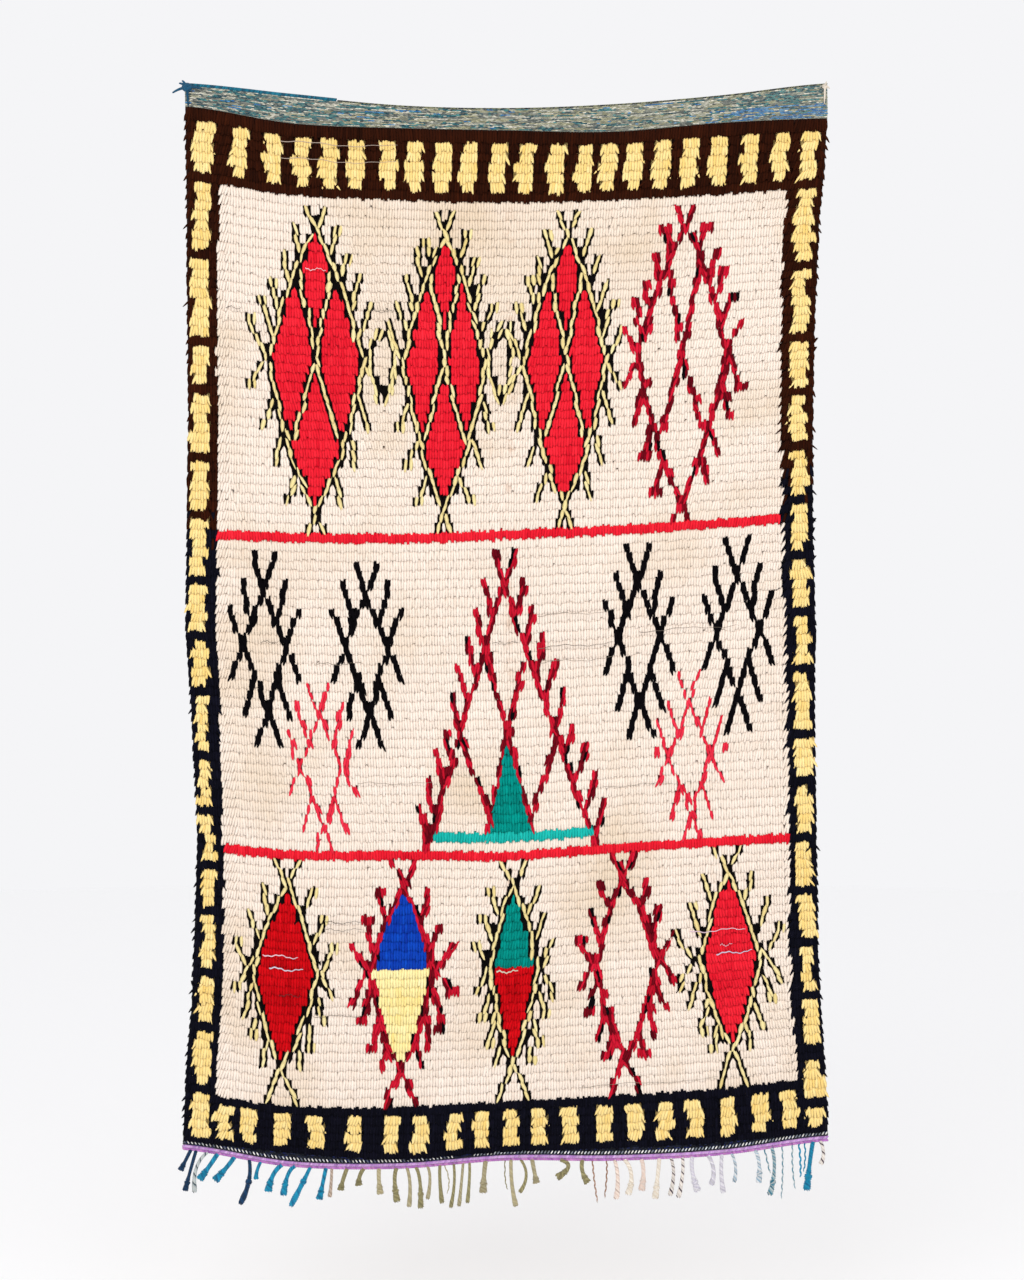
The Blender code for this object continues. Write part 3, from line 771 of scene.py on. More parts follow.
# %% How each lock lies
LOCK_ROWS = 1.5
FOLLOW = 0.75
LAST_ROW_SHORTER = 0.3
STRAW_SPLAY = 0.9
DARK_SPLAY = 1.3
DYED_SPLAY = 0.15
DYED_LIFT = 0.6
CORE_LIFT = 0.4
EDGING_LIFT = -0.3
DRAWN_LONGER = 0.12
DRAWN_POINT = 0.55
BLOCK_POINT = 0.6
OTHER_POINT = 0.35
SEED_SPREAD = 400.0
LEANS = (
    (3.0, (0.1, 0.0, 0.1, 0.0, -0.1, -0.15, -0.2)),
    (25.0, (0.2, 0.4, 0.4, -0.3, -0.2, -0.4, -0.2)),
    (60.0, (0.1, 0.1, 0.05, 0.0, -0.05, -0.45, -0.2)),
    (92.0, (0.1, 0.2, 0.1, -0.4, -0.1, 0.4, 0.2)),
    (108.0, (0.0, 0.1, 0.0, 0.0, 0.0, 0.1, 0.1)),
)

rows, knots = np.divmod(np.arange(PILE_ROWS * KNOTS), KNOTS)
u = (knots + 0.5) / KNOTS
yarn_of = chart.ravel()
count = len(rows)
lean = down_table(LEANS, u, rows, soft=True) + 0.12 * np.sin(21.0 * u - 0.31 * rows)
lean += FOLLOW * (np.where(np.isnan(slopes.ravel()), lean, slopes.ravel()) - lean)
lean += np.interp(knots, (0, 4, 8, BORDER_KNOTS, BORDER_KNOTS + 3, BORDER_KNOTS + 5),
                  (-0.5, 0.0, 0.0, -0.9, -0.9, 0.0))
lean += np.interp(knots, (KNOTS - BORDER_KNOTS - 2, KNOTS - BORDER_KNOTS - 1, KNOTS - 5, KNOTS - 1),
                  (0.0, -0.9, 0.0, 0.5))
lean += dice.normal(0.0, 0.17, count)
long = LOCK_ROWS + dice.normal(0.0, 0.1, count)
lift = dice.normal(0.0, 0.25, count)
wide = 1.0 + dice.normal(0.0, 0.06, count)
seed = dice.uniform(0.0, SEED_SPREAD, count)
own_shade = dice.normal(0.0, 0.12, count)
row_shade = dice.normal(0.0, 0.05, PILE_ROWS)
shade = 0.5 + own_shade + row_shade[rows] + 0.05 * np.sin(19.0 * u + 0.3 * rows)

padded = np.pad(chart, ((0, 0), (1, 1)), constant_values=-1)
open_left, open_right = padded[:, :-2] != chart, padded[:, 2:] != chart
dyed = yarn_of != Y.cream
framing = np.isin(yarn_of, (Y.straw, Y.brown, Y.ink))
flare = np.where(dyed, open_right.ravel().astype(float) - open_left.ravel(), 0.0)
splay = np.where(yarn_of == Y.straw, STRAW_SPLAY, DARK_SPLAY)
lean += flare * np.where(framing, splay * np.abs(dice.normal(0.0, 1.0, count)), DYED_SPLAY)
edging = yarn_of == Y.black
core = yarn_of == Y.butter
drawn = np.isin(yarn_of, (Y.black, Y.butter, Y.jet, Y.crimson, Y.wine, Y.coral))
beside_border = (yarn_of == Y.cream) & (knots > BORDER_KNOTS - 3) & (knots < BORDER_KNOTS + 4)
lift += np.where(dyed & ~edging, DYED_LIFT, -0.5 * lift) + np.where(core, CORE_LIFT, 0.0)
lift += np.where(edging, EDGING_LIFT, 0.0)
lift += np.where(beside_border, dice.normal(0.6, 0.5, count), 0.0)
wide *= np.where(core, 1.0 + dice.normal(0.0, 0.16, count), 1.0)
long += np.where(drawn, DRAWN_LONGER + dice.normal(0.0, 0.1, count), 0.0)
long = np.where(rows == PILE_ROWS - 1, long - LAST_ROW_SHORTER, long)
point = np.select([drawn, framing & (flare != 0.0), beside_border | (flare != 0.0)],
                  [DRAWN_POINT, BLOCK_POINT, OTHER_POINT], 0.0)
print("locks", count, "mean lean", round(float(lean.mean()), 3))

# %% [markdown]
# A lock's width, thickness and rise are read from short tables along its length, from 0 at its knot
# to 1 at its tip. All the locks of one yarn become one piece, and the many cream ones become four.

# %% Plant the pile
ALONG = (0.0, 0.2, 0.66, 1.0)
LOCK_HALF_WIDE = (2.4, 3.1, 3.4, 3.2)
LOCK_HALF_THICK = (0.9, 1.05, 0.9, 0.25)
LOCK_RISE = (1.0, 6.9, 8.3, 8.2)
LEAN_PIVOT = 1.0
CREAM_PARTS = 4


def plant(chosen):
    """Points of the chosen locks: copies by corners by three."""
    across, along, thick = LOCK.points.T
    half_wide = np.interp(along, ALONG, LOCK_HALF_WIDE) * MM
    half_thick = np.interp(along, ALONG, LOCK_HALF_THICK) * MM
    rise = np.interp(along, ALONG, LOCK_RISE) * MM
    pick = (chosen, None)
    slant = lean[pick] * (along * long[pick] - LEAN_PIVOT) * KNOT_WIDE
    narrowed = 1.0 - point[pick] * np.interp(along, ALONG[2:], (0.0, 1.0))
    place = u[pick] + (across * half_wide * wide[pick] * narrowed + slant) / CLOTH_WIDE
    down = rows[pick] + along * long[pick]
    out = rise + lift[pick] * MM * along + thick * half_thick
    return on_cloth(place, down, out).reshape(*place.shape, 3)


for number, name in enumerate(YARNS):
    chosen = np.flatnonzero(yarn_of == number)
    parts = np.array_split(chosen, CREAM_PARTS) if name == "cream" else [chosen]
    for part, knots_here in enumerate(parts):
        label = f"pile_{name}_{part + 1}" if len(parts) > 1 else f"pile_{name}"
        thing = joined(label, LOCK, plant(knots_here), shade[knots_here], seed[knots_here],
                       WOOLS[name])

# %% [markdown]
# Behind the pile is the ground. From the back each knot shows as two nubs of its own colour, in
# mirror image, with a band of plain wefts between one row of knots and the next. The heading and the
# foot are flatwoven and have finishes of their own: short threads with a few flecks of another yarn.

# %% Finishes of the ground
KNOT_LINE = 0.34
NUB_TURNS = 2
WEFT_TURNS = 8
WEAVE_BUMP = (0.5, 0.8 * MM)


def knot_backs():
    """Hard-beaten wefts of undyed wool with rows of knot backs, flat and dry to the eye."""
    finish, tree, shader = new_finish("knot_backs_wool", 0.97, 0.1)
    weave = add(tree, "UVMap", uv_map="Weave").outputs["UV"]
    axes = add(tree, "SeparateXYZ", {0: weave}).outputs
    in_line = ranged(tree, maths(tree, "FRACT", axes["Y"]), KNOT_LINE, KNOT_LINE + 0.05, 1.0, 0.0)
    nub, weft = (maths(tree, "COSINE", maths(tree, "MULTIPLY", axes[axis], 2 * math.pi * turns))
                 for axis, turns in (("X", NUB_TURNS), ("Y", WEFT_TURNS)))
    relief = add(tree, "Mix", {0: in_line, 2: weft, 3: nub}, data_type="FLOAT").outputs[0]
    undyed = mixed(tree, noise(tree, weave, 0.6, 3.0), linear("b8a283"), linear("efe0c8"))
    knot = add(tree, "Attribute", attribute_name="knot").outputs["Color"]
    cover(tree, shader, mixed(tree, in_line, undyed, knot), relief, *WEAVE_BUMP)
    return finish


def flatweave(name, deep, light, fleck):
    """Weft-faced weave: short threads side by side, with a few flecks of another yarn."""
    finish, tree, shader = new_finish(name, 0.96, 0.1)
    weave = add(tree, "UVMap", uv_map="Weave").outputs["UV"]
    threads = noise(tree, vectors(tree, "MULTIPLY", weave, (0.8, 8.0, 1.0))[0], 1.0, 2.0)
    flecked = ranged(tree, threads, 0.6, 0.66, 0.0, 1.0)
    colour = mixed(tree, flecked, mixed(tree, threads, linear(deep), linear(light)), linear(fleck))
    cover(tree, shader, colour, threads, *WEAVE_BUMP)
    return finish


GROUND_FINISHES = (knot_backs(), flatweave("heading_flatweave_wool", "55605f", "a3a595", "d3d2c3"),
                   flatweave("foot_flatweave_wool", "060a14", "131c30", "3a4048"))
print("finishes", [finish.name for finish in GROUND_FINISHES])

# %% [markdown]
# The ground is one sheet of weaving as wide as the rug. It is a flat grid with one cell for each
# knot, made solid, and then hung, so every face can carry the colour of its knot. In front the UV map
# stays inside the line of knots, so that between two locks their own wool shows.

# %% The ground weave
GROUND_ROWS = int(FOOT_ROW - HEADING_ROW)
INSIDE_LINE = 0.9 * KNOT_LINE
BAKE_MARGIN = 0.01
BAKE_WIDE = 0.48
AVERAGE = np.array([[0.5 * (a + b) for a, b in zip(linear(deep), linear(light))]
                    for deep, light in (DYES[name] for name in YARNS)])


def read(data, key, width, kind=np.float32):
    """Take the values of every element of a mesh as one array."""
    values = np.empty(len(data) * width, kind)
    data.foreach_get(key, values)
    return values.reshape(-1, width).astype(float) if width > 1 else values


def ground_weave():
    """The whole ground as one solid sheet, coloured face by face and hung."""
    bm = bmesh.new()
    bmesh.ops.create_grid(bm, x_segments=KNOTS, y_segments=GROUND_ROWS, size=0.5)
    bmesh.ops.scale(bm, verts=bm.verts, vec=(KNOTS, GROUND_ROWS, 1.0))
    bmesh.ops.translate(bm, verts=bm.verts, vec=(0.5 * KNOTS, HEADING_ROW + 0.5 * GROUND_ROWS, 0))
    bmesh.ops.solidify(bm, geom=bm.faces[:], thickness=GROUND_THICK)
    bmesh.ops.recalc_face_normals(bm, faces=bm.faces)
    mesh = bpy.data.meshes.new("ground_weave")
    bm.to_mesh(mesh)
    bm.free()
    flat = read(mesh.vertices, "co", 3)
    centres = read(mesh.polygons, "center", 3)
    corners_of = read(mesh.loops, "vertex_index", 1, np.int32)
    behind = flat[:, 2] - flat[:, 2].min() < 0.5 * GROUND_THICK
    row_of = np.repeat(np.floor(centres[:, 1]), 4)
    in_front = ~behind[corners_of] & (row_of >= 0) & (row_of < PILE_ROWS)
    across, down = flat[corners_of, 0], flat[corners_of, 1]
    down = np.where(in_front, row_of + INSIDE_LINE * (down - row_of), down)
    write(mesh.uv_layers.new(name="Weave").data, "uv", np.column_stack([across, down]))
    share = flat[:, :2] / (KNOTS, GROUND_ROWS) - (0.0, HEADING_ROW / GROUND_ROWS)
    share[:, 0] = BAKE_MARGIN + BAKE_WIDE * share[:, 0] + np.where(behind, 0.5, 0.0)
    write(mesh.uv_layers.new(name="OFBake").data, "uv", share[corners_of])
    row = np.clip(np.floor(centres[:, 1]).astype(int), 0, PILE_ROWS - 1)
    knot = np.clip(np.floor(centres[:, 0]).astype(int), 0, KNOTS - 1)
    layer = mesh.attributes.new("knot", "FLOAT_COLOR", "FACE")
    write(layer.data, "color", AVERAGE[chart[row, knot]])
    kinds = np.where(centres[:, 1] < 0.0, 1, np.where(centres[:, 1] > PILE_ROWS, 2, 0))
    depth = np.where(behind, -GROUND_THICK, 0.0)
    write(mesh.vertices, "co", on_cloth(flat[:, 0] / KNOTS, flat[:, 1], depth))
    for finish in GROUND_FINISHES:
        mesh.materials.append(finish)
    write(mesh.polygons, "material_index", kinds, np.int32)
    mesh.update()
    thing = put_in_scene("ground_weave", mesh)
    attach(thing, "root")
    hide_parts("rug_body")
    print("ground weave", len(mesh.polygons), "faces")
    return thing


ground = ground_weave()

# %% [markdown]
# The heading is weft-faced flatweave from odd ends of yarn: grey, pale, teal and olive, all mixed,
# with sky blue towards its right end. Each float of weft is a small stitch, and the floats sit like bricks,
# half a step aside in every other line. A yarn runs for a few floats and then the next one is drawn
# by lot, with chances that change along the heading. The narrow foot is made the same way, in dark
# wool.

# %% Floats of the flatwoven ends
FLOAT_WIDE = 6.0 * MM
FLOAT_TALL = 2.1 * MM
FLOAT_HALF_DEEP = 0.9 * MM
FLOAT_OUT = 0.4 * MM
FLOAT_HALF = 0.62 * FLOAT_WIDE
HEADING_LINES = 20
FOOT_LINES = 4
SPUN_ROUND = 6.0 * MM
SPUN_SWAY = 0.8
SPUN_BUMP = (0.4, 0.5 * MM)
SAME_YARN = 0.6
HEADING_YARNS = (
    ("7e817a", "93968a", "5c625e"), ("cac9b8", "dcd7c6", "b0b19f"), ("2a6a74", "4a8888", "1c4a58"),
    ("a5a283", "8d8d72", "b9b698"), ("1f68a6", "3f86bc", "6ea0c4"),
)
FOOT_YARNS = ("0a0f1c", "0c1424", "101a3c", "080b14", "1a2448", "122268")


def spun_wool(name):
    """Hand-spun wool in the colour that each copy carries, with soft streaks along it."""
    finish, tree, shader = new_finish(name, WOOL_ROUGH, 0.15)
    fibres = streaks(tree, SPUN_ROUND, LOCK_LONG)
    tint = add(tree, "Attribute", attribute_name="tint").outputs["Color"]
    deeper, lighter = (add(tree, "VectorMath", {0: tint, "Scale": scale},
                           operation="SCALE").outputs[0] for scale in (0.55, 1.25))
    colour = mixed(tree, shade_of(tree, fibres, SPUN_SWAY), deeper, lighter)
    cover(tree, shader, colour, fibres, *SPUN_BUMP)
    return finish


SPUN = spun_wool("hand_spun_wool")


def spun(name, template, points, codes, stray):
    """Copies in hand-spun wool, each with a colour of its own and a shade that may stray."""
    copies = len(points)
    own = 0.5 + (dice.normal(0.0, stray, copies) if stray else np.zeros(copies))
    tints = np.array([linear(code)[:3] for code in codes])
    return joined(name, template, points, own, dice.uniform(0.0, SEED_SPREAD, copies), SPUN, tints)


def stitches(name, places, half, slant, colours, lots):
    """Stitches laid on the cloth: places are u, row, out and up; half is long, tall and deep."""
    along = STITCH.points[:, 1] * half[0]
    tall = STITCH.points[:, 0] * half[1]
    deep = STITCH.points[:, 2] * half[2]
    turn = np.asarray(slant, float) * np.ones(len(places))
    cos, sin = np.cos(turn)[:, None], np.sin(turn)[:, None]
    across = along * cos - tall * sin
    rise = along * sin + tall * cos
    middle, row, out, up = (places[:, column, None] for column in range(4))
    shape = (len(places), len(along))
    grid_u = middle + across / CLOTH_WIDE
    points = on_cloth(grid_u, np.broadcast_to(row, shape), np.broadcast_to(out + deep, shape))
    points = points.reshape(*shape, 3)
    points[:, :, 2] += rise + up
    return spun(name, STITCH, points, [colours[lot] for lot in lots], 0.15)


def hill(u, middle, half):
    """A smooth hill of height one round a place across."""
    return np.exp(-((u - middle) / half) ** 2)


def heading_chances(u, row):
    """How likely each kind of yarn is at places in the heading."""
    upper = np.clip((-1.4 - row) / 0.6, 0.0, 1.0)
    teal = 0.26 + 0.5 * hill(u, 0.15, 0.08) + 0.9 * upper * hill(u, 0.93, 0.07)
    sky = 0.08 * hill(u, 0.12, 0.03) + 1.6 * (1 - upper) * np.clip((u - 0.8) / 0.1, 0.0, 1.0)
    olive = 0.08 + 0.3 * np.clip((u - 0.25) / 0.2, 0.0, 1.0)
    return np.array([np.full(len(u), 0.4), np.full(len(u), 0.3), teal, olive, 0.02 + sky])


def float_places(first_row, last_row, lines):
    """Brick-laid places across the whole cloth, one line of floats under another."""
    across = int(CLOTH_WIDE / FLOAT_WIDE)
    places = []
    for number in range(lines):
        row = first_row + (number + 0.5) * (last_row - first_row) / lines
        start = 0.5 * (number % 2)
        for step in range(across):
            place = (step + 0.5 + start + dice.uniform(-0.15, 0.15)) / (across + 0.5)
            places.append((place, row, FLOAT_OUT, 0.0))
    return np.array(places)


heading_places = float_places(HEADING_ROW, -0.1, HEADING_LINES)
reach = np.cumsum(heading_chances(*heading_places[:, :2].T), axis=0)
draw = dice.random(len(heading_places)) * reach[-1]
for place in range(1, len(draw)):
    if dice.random() < SAME_YARN:
        draw[place] = draw[place - 1] * reach[-1, place] / reach[-1, place - 1]
kinds = (draw > reach[:-1]).sum(axis=0)
lots = 3 * kinds + dice.integers(0, 3, len(kinds))
heading = stitches("heading_floats", heading_places,
                   (FLOAT_HALF, 0.58 * FLOAT_TALL, FLOAT_HALF_DEEP),
                   dice.normal(0.0, 0.06, len(lots)),
                   [code for kind in HEADING_YARNS for code in kind], lots)
foot_places = float_places(PILE_ROWS + 0.2, FOOT_ROW, FOOT_LINES)
foot = stitches("foot_floats", foot_places,
                (FLOAT_HALF, 0.6 * FLOAT_TALL, FLOAT_HALF_DEEP), 0.0,
                FOOT_YARNS, dice.integers(0, len(FOOT_YARNS), len(foot_places)))

# %% [markdown]
# The edges are bound with twined cords, which seen from the side are a row of slanting stitches.
# A teal cord starts the top edge and a thin dark one ends it, and the hem is a lilac band of two
# rows that slant towards each other, with a dark thread over it and two lines of white stitches
# over that. The upper lilac row is painted lighter, a painted highlight on the top of the band. All
# of them are the same stitch with other sizes, so each is a row of a table, with its lengths in
# millimetres and the slot and node that it belongs to.

# %% Cords and stitched lines
Cord = namedtuple("Cord", "name start end row up out pitch half slant colours slot nodes")
GAP = 0.3
TEAL_END = 0.235
MIDWAY = -1.5
CORDS = (
    Cord("heading_cord_teal", 0.0, TEAL_END, HEADING_ROW, GAP + 2.2, 0.4, 2.6, (4.2, 2.6, 2.2), 0.85,
         ("0b5b72", "0f7088", "0a4860"), "heading_cord_teal", ("heading_cord_teal",)),
    Cord("heading_cord_dark", TEAL_END + 0.002, 1.0, HEADING_ROW, GAP + 1.5, MIDWAY, 2.4,
         (2.8, 1.2, 1.6), 0.6, ("2b2f33", "3a3f3c", "6f7358", "8b8c6a"), "heading_cord_dark",
         ("heading_cord_dark",)),
    # One lilac yarn in two rows: the upper row's colours are painted lighter, a painted highlight on the
    # top of the band, and the lower row's are darker and pinker.
    Cord("hem_cord_upper", 0.0, 1.0, HEM_ROW, 8.4, 0.2, 3.6, (3.8, 2.7, 2.2), 0.7,
         ("c596d4", "b985cc", "cfa4da"), "hem_cord_lilac", ("hem_cord_lilac",)),
    Cord("hem_cord_lower", 0.0, 1.0, HEM_ROW, 2.6, MIDWAY, 3.6, (3.8, 2.7, 2.4), -0.7,
         ("b677bc", "c383bc", "ab6cb4"), "hem_cord_lilac", ()),
    Cord("foot_thread_dark", 0.0, 1.0, FOOT_ROW, 2.4, 1.8, 4.4, (3.2, 1.0, 1.0), 0.1,
         ("15151f", "241f2a"), "rug_wool", ()),
    Cord("foot_stitches_left", 0.0, 0.42, FOOT_ROW, 6.0, 4.0, 6.8, (3.6, 1.4, 1.1), -1.0,
         ("f4f2ec", "e4e2da", "cfd2d2", "6a7280"), "rug_wool", ()),
    Cord("foot_stitches_right", 0.45, 1.0, FOOT_ROW, 6.0, 4.0, 6.2, (3.7, 1.5, 1.1), 1.0,
         ("f8f6f2", "eae8e2", "d9dee2", "8a929c"), "rug_wool", ()),
)


def twined(cord):
    """One cord as a row of slanting stitches."""
    steps = int((cord.end - cord.start) * CLOTH_WIDE / (cord.pitch * MM))
    across = cord.start + (cord.end - cord.start) * (np.arange(steps) + 0.5) / steps
    ones = np.ones(steps)
    places = np.column_stack([across, cord.row * ones, cord.out * MM * ones, cord.up * MM * ones])
    return stitches(cord.name + "_twine", places, np.array(cord.half) * MM, cord.slant, cord.colours,
                    dice.integers(0, len(cord.colours), steps))


cords = [twined(cord) for cord in CORDS]
for cord, thing in zip(CORDS, cords):
    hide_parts(*cord.nodes)

# %% [markdown]
# The fringe is the warp ends, gathered into locks and knotted. A lock is five strands that twist
# round each other along its line, with an overhand knot low down, where the strands swell and turn
# faster, and a loose end that spreads. So each strand is one template tube, bent by the lock's
# curve, and every lock is a row of the table: where it starts, how its middle and its end swing and
# drop, its width, its kind and its dye. A dye has a few shades, and where one of them is dark, the
# twist of the strands draws the dark flecks that this yarn has.

# %% The locks of the fringe
FRINGE_DYES = {
    "navy": ("08365a", "072a48"), "teal": ("0c84ac", "1090b2", "0a6a92"),
    "smoke": ("c3c6c3", "aeb6b6", "46565e"), "rose": ("cdb9a8", "b7a08c"),
    "olive": ("9a9268", "877e58"), "oat": ("b3a988", "a29672"), "rust": ("b58c74", "8f6a50"),
    "cream": ("ebe2d4", "dccfbc"), "blush": ("ead9cd", "e0c8ba"),
    "fleck": ("ece5dd", "e4dad0", "3a2438"), "mist": ("d6d3d8", "c0bcc8"),
    "haze": ("d3d6d8", "94aebf"), "sea": ("b9c2c2", "3f8096", "8fa8ae"),
}
FRINGE = {
    "fringe_teal_left": (
        (-599, -10, 18, -20, 36, 7, "knotted", "navy"), (-589, -12, 40, -21, 74, 7, "knotted", "navy"),
        (-567, -22, 30, -24, 74, 7, "plain", "smoke"), (-548, -16, 22, -35, 46, 9, "knotted", "teal"),
        (-516, -14, 17, -38, 42, 9, "knotted", "teal"), (-488, -1, 40, -18, 82, 8, "tailed", "navy"),
        (-466, -7, 15, -9, 30, 7, "plain", "teal"), (-426, -17, 18, -26, 48, 9, "knotted", "teal"),
        (-401, -14, 16, -22, 53, 8, "knotted", "teal"), (-372, -13, 25, -38, 72, 8, "tailed", "teal"),
        (-342, -6, 27, -13, 57, 8, "knotted", "teal"),
    ),
    "fringe_olive": (
        (-331, -1, 24, -4, 52, 6, "plain", "rose"), (-302, -8, 22, -12, 38, 8, "knotted", "olive"),
        (-270, -8, 14, -9, 29, 8, "knotted", "olive"), (-241, 0, 21, 3, 46, 8, "knotted", "oat"),
        (-207, -4, 22, 1, 62, 8, "knotted", "olive"), (-188, 6, 30, 4, 72, 7, "plain", "oat"),
        (-171, 8, 26, 9, 76, 7, "knotted", "olive"), (-149, 5, 23, 0, 60, 6, "plain", "oat"),
        (-125, 0, 28, 4, 70, 7, "plain", "olive"), (-117, 9, 28, 5, 52, 3, "thin", "oat"),
        (-99, 1, 37, -6, 81, 6, "plain", "olive"), (-81, -3, 34, -8, 80, 6, "plain", "oat"),
        (-69, 0, 29, -4, 75, 6, "plain", "olive"), (-38, -3, 24, -5, 58, 9, "knotted", "oat"),
        (-1, 0, 34, 5, 53, 3, "thin", "olive"), (10, 2, 46, 10, 86, 8, "plain", "oat"),
        (28, 11, 29, -2, 60, 6, "plain", "olive"), (50, 5, 24, 9, 42, 8, "knotted", "oat"),
        (104, 15, 12, -8, 31, 8, "knotted", "olive"), (146, 0, 20, 11, 40, 8, "knotted", "olive"),
        (165, 4, 40, 10, 78, 4, "thin", "rust"), (192, 0, 30, -4, 70, 4, "thin", "rust"),
    ),
    "fringe_pale": (
        (207, 6, 32, 3, 72, 8, "plain", "blush"), (226, 13, 28, 6, 64, 8, "knotted", "cream"),
        (258, 4, 24, 0, 57, 8, "knotted", "blush"), (292, -3, 32, -8, 74, 8, "knotted", "cream"),
        (314, 5, 30, -2, 69, 7, "plain", "fleck"), (336, 0, 32, -8, 74, 7, "plain", "fleck"),
        (355, 0, 28, 11, 63, 8, "knotted", "mist"), (385, 10, 26, 5, 53, 8, "plain", "mist"),
        (411, -1, 35, 3, 70, 8, "plain", "mist"), (429, 8, 24, 5, 52, 6, "plain", "haze"),
    ),
    "fringe_teal_right": (
        (474, 8, 24, 7, 59, 7, "knotted", "haze"), (492, 6, 24, 11, 44, 4, "thin", "sea"),
        (506, 5, 38, -4, 88, 7, "knotted", "sea"), (526, 1, 49, -2, 98, 4, "thin", "sea"),
        (546, 0, 41, 5, 82, 4, "thin", "sea"), (558, 3, 33, 3, 62, 5, "thin", "teal"),
        (569, 1, 28, -2, 52, 4, "thin", "teal"), (585, -6, 38, -12, 90, 9, "knotted", "teal"),
        (599, 6, 22, 0, 41, 7, "plain", "fleck"),
    ),
}
SWELLS = {
    "knotted": ((0.0, 0.25, 0.6, 0.68, 0.76, 0.83, 0.93, 1.0),
                (1.0, 1.0, 0.95, 1.35, 1.8, 1.45, 2.1, 2.7)),
    "tailed": ((0.0, 0.36, 0.43, 0.5, 0.57, 0.66, 0.84, 1.0),
               (0.9, 1.0, 1.3, 1.75, 1.35, 1.15, 1.6, 1.8)),
    "plain": ((0.0, 0.5, 0.8, 1.0), (0.9, 0.95, 1.15, 2.0)),
    "thin": ((0.0, 0.5, 1.0), (1.0, 1.0, 0.9)),
}
KNOT_PLACE = {"knotted": 0.76, "tailed": 0.5, "plain": 2.0, "thin": 2.0}
Lock = namedtuple("Lock", "root mid_swing mid_drop end_swing end_drop width shape dye")
FRINGE = {node: [Lock(*row) for row in rows] for node, rows in FRINGE.items()}
print("locks of the fringe", {node: len(locks) for node, locks in FRINGE.items()})

# %% [markdown]
# A lock's path is a bow through three points. Each strand circles that path, a fifth of a turn from
# its neighbour, and the circle widens where the lock swells and at its loose end.

# %% The fringe
STRANDS = 5
THIN_STRANDS = 2
STRAND = strand(5, 26)
TWIST_PITCH = 14.0 * MM
KNOT_TURNS = 1.6
KNOT_SHARP = 45.0
HALF_SHARE = 0.46
ORBIT = (0.55, 0.45)
STRAND_SHARE = 0.62
LOOSE_FROM = 0.85
TAPER_FROM = 0.84
TIP_THICK = 0.4
FLATTENED = 0.8
LOOK_AHEAD = 0.02


def along_curve(root, middle, end, t):
    """A bow from a root through a middle to an end."""
    return ((1 - t) * (1 - 2 * t) * root[:, None] + 4 * t * (1 - t) * middle[:, None]
            + t * (2 * t - 1) * end[:, None]).T


def strand_points(path, swell, angle):
    """Bend the strand template round a path, at its own turn of the twist."""
    t = STRAND.points[:, 1]
    thick = STRAND_SHARE * swell * np.interp(t, (TAPER_FROM, 1.0), (1.0, TIP_THICK))
    across = ORBIT[0] * swell * np.cos(angle) + STRAND.points[:, 0] * thick
    deep = ORBIT[1] * swell * np.sin(angle) + STRAND.points[:, 2] * thick * FLATTENED
    ahead = path(np.minimum(t + LOOK_AHEAD, 1.0)) - path(np.maximum(t - LOOK_AHEAD, 0.0))
    side = np.column_stack([-ahead[:, 2], np.zeros(len(t)), ahead[:, 0]])
    side /= np.linalg.norm(side, axis=1)[:, None]
    return path(t) + side * across[:, None] + np.array([0.0, 1.0, 0.0]) * deep[:, None]


def fringe_lock(lock):
    """The points of one lock's strands."""
    left, right = on_cloth([0.0, 1.0], [HEM_ROW] * 2, [0.0] * 2)[:, 0]
    place = (lock.root * MM - left) / (right - left)
    root = on_cloth([place], [HEM_ROW], [MIDWAY * MM])[0] + np.array([0.0, 0.0, 2.0 * MM])
    middle = root + MM * np.array([lock.mid_swing, 0.0, -lock.mid_drop - 2.0])
    end = root + MM * np.array([lock.end_swing, 0.0, -lock.end_drop - 4.0])
    t = STRAND.points[:, 1]
    turns = t * (lock.end_drop * MM) / TWIST_PITCH + KNOT_TURNS / (
        1 + np.exp(-(t - KNOT_PLACE[lock.shape]) * KNOT_SHARP))
    half = HALF_SHARE * lock.width * MM * np.interp(t, *SWELLS[lock.shape])
    made = []
    for number in range(THIN_STRANDS if lock.shape == "thin" else STRANDS):
        loose = dice.uniform(0.85, 1.15)
        swell = half * (1 + (loose - 1) * 3 * np.clip(t - LOOSE_FROM, 0, 1))
        made.append(strand_points(lambda t: along_curve(root, middle, end, t), swell,
                                  2 * math.pi * (number / STRANDS + turns)))
    return made


for node, locks in FRINGE.items():
    points, codes = [], []
    for lock in locks:
        strands = fringe_lock(lock)
        points += strands
        dyes = FRINGE_DYES[lock.dye]
        codes += [dyes[number % len(dyes)] for number in range(len(strands))]
    thing = spun(node + "_strands", STRAND, np.array(points), codes, 0.16)
    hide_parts(node)

# %% [markdown]
# At each top corner the leftover yarn is tied off in a knot. A tied knot is a few turns of yarn
# wound over each other, so it is made of ring-shaped turns at different slants, with loose tails.

# %% Corner knots
CORNER_KNOTS = (
    ("corner_knot_left", (-607, -10, 36), (7.2, 3.7), "0a4a68", "fringe_teal",
     ((-29, 4, -10), (-16, 4, 9), (-10, 3, 14), (26, 2, -2), (2, 6, -36))),
    ("corner_knot_right", (608, -8, 38), (3.6, 2.2), "e0d3c2", "fringe_pale",
     ((4, 2, 10), (10, 2, -4), (-1, 2, -34), (1, 3, -24))),
)
RING_TURNS = ((0.2, 0.1), (1.1, 0.5), (-0.9, -0.4), (0.5, 1.2))
RING_SQUASH = (1.0, 0.6, 0.85)
TAIL_TAPER = 0.55
TAIL_BOW = np.array([0.0, -2.0, 1.5]) * MM
COIL_RINGS = 16
COIL = strand(6, COIL_RINGS)


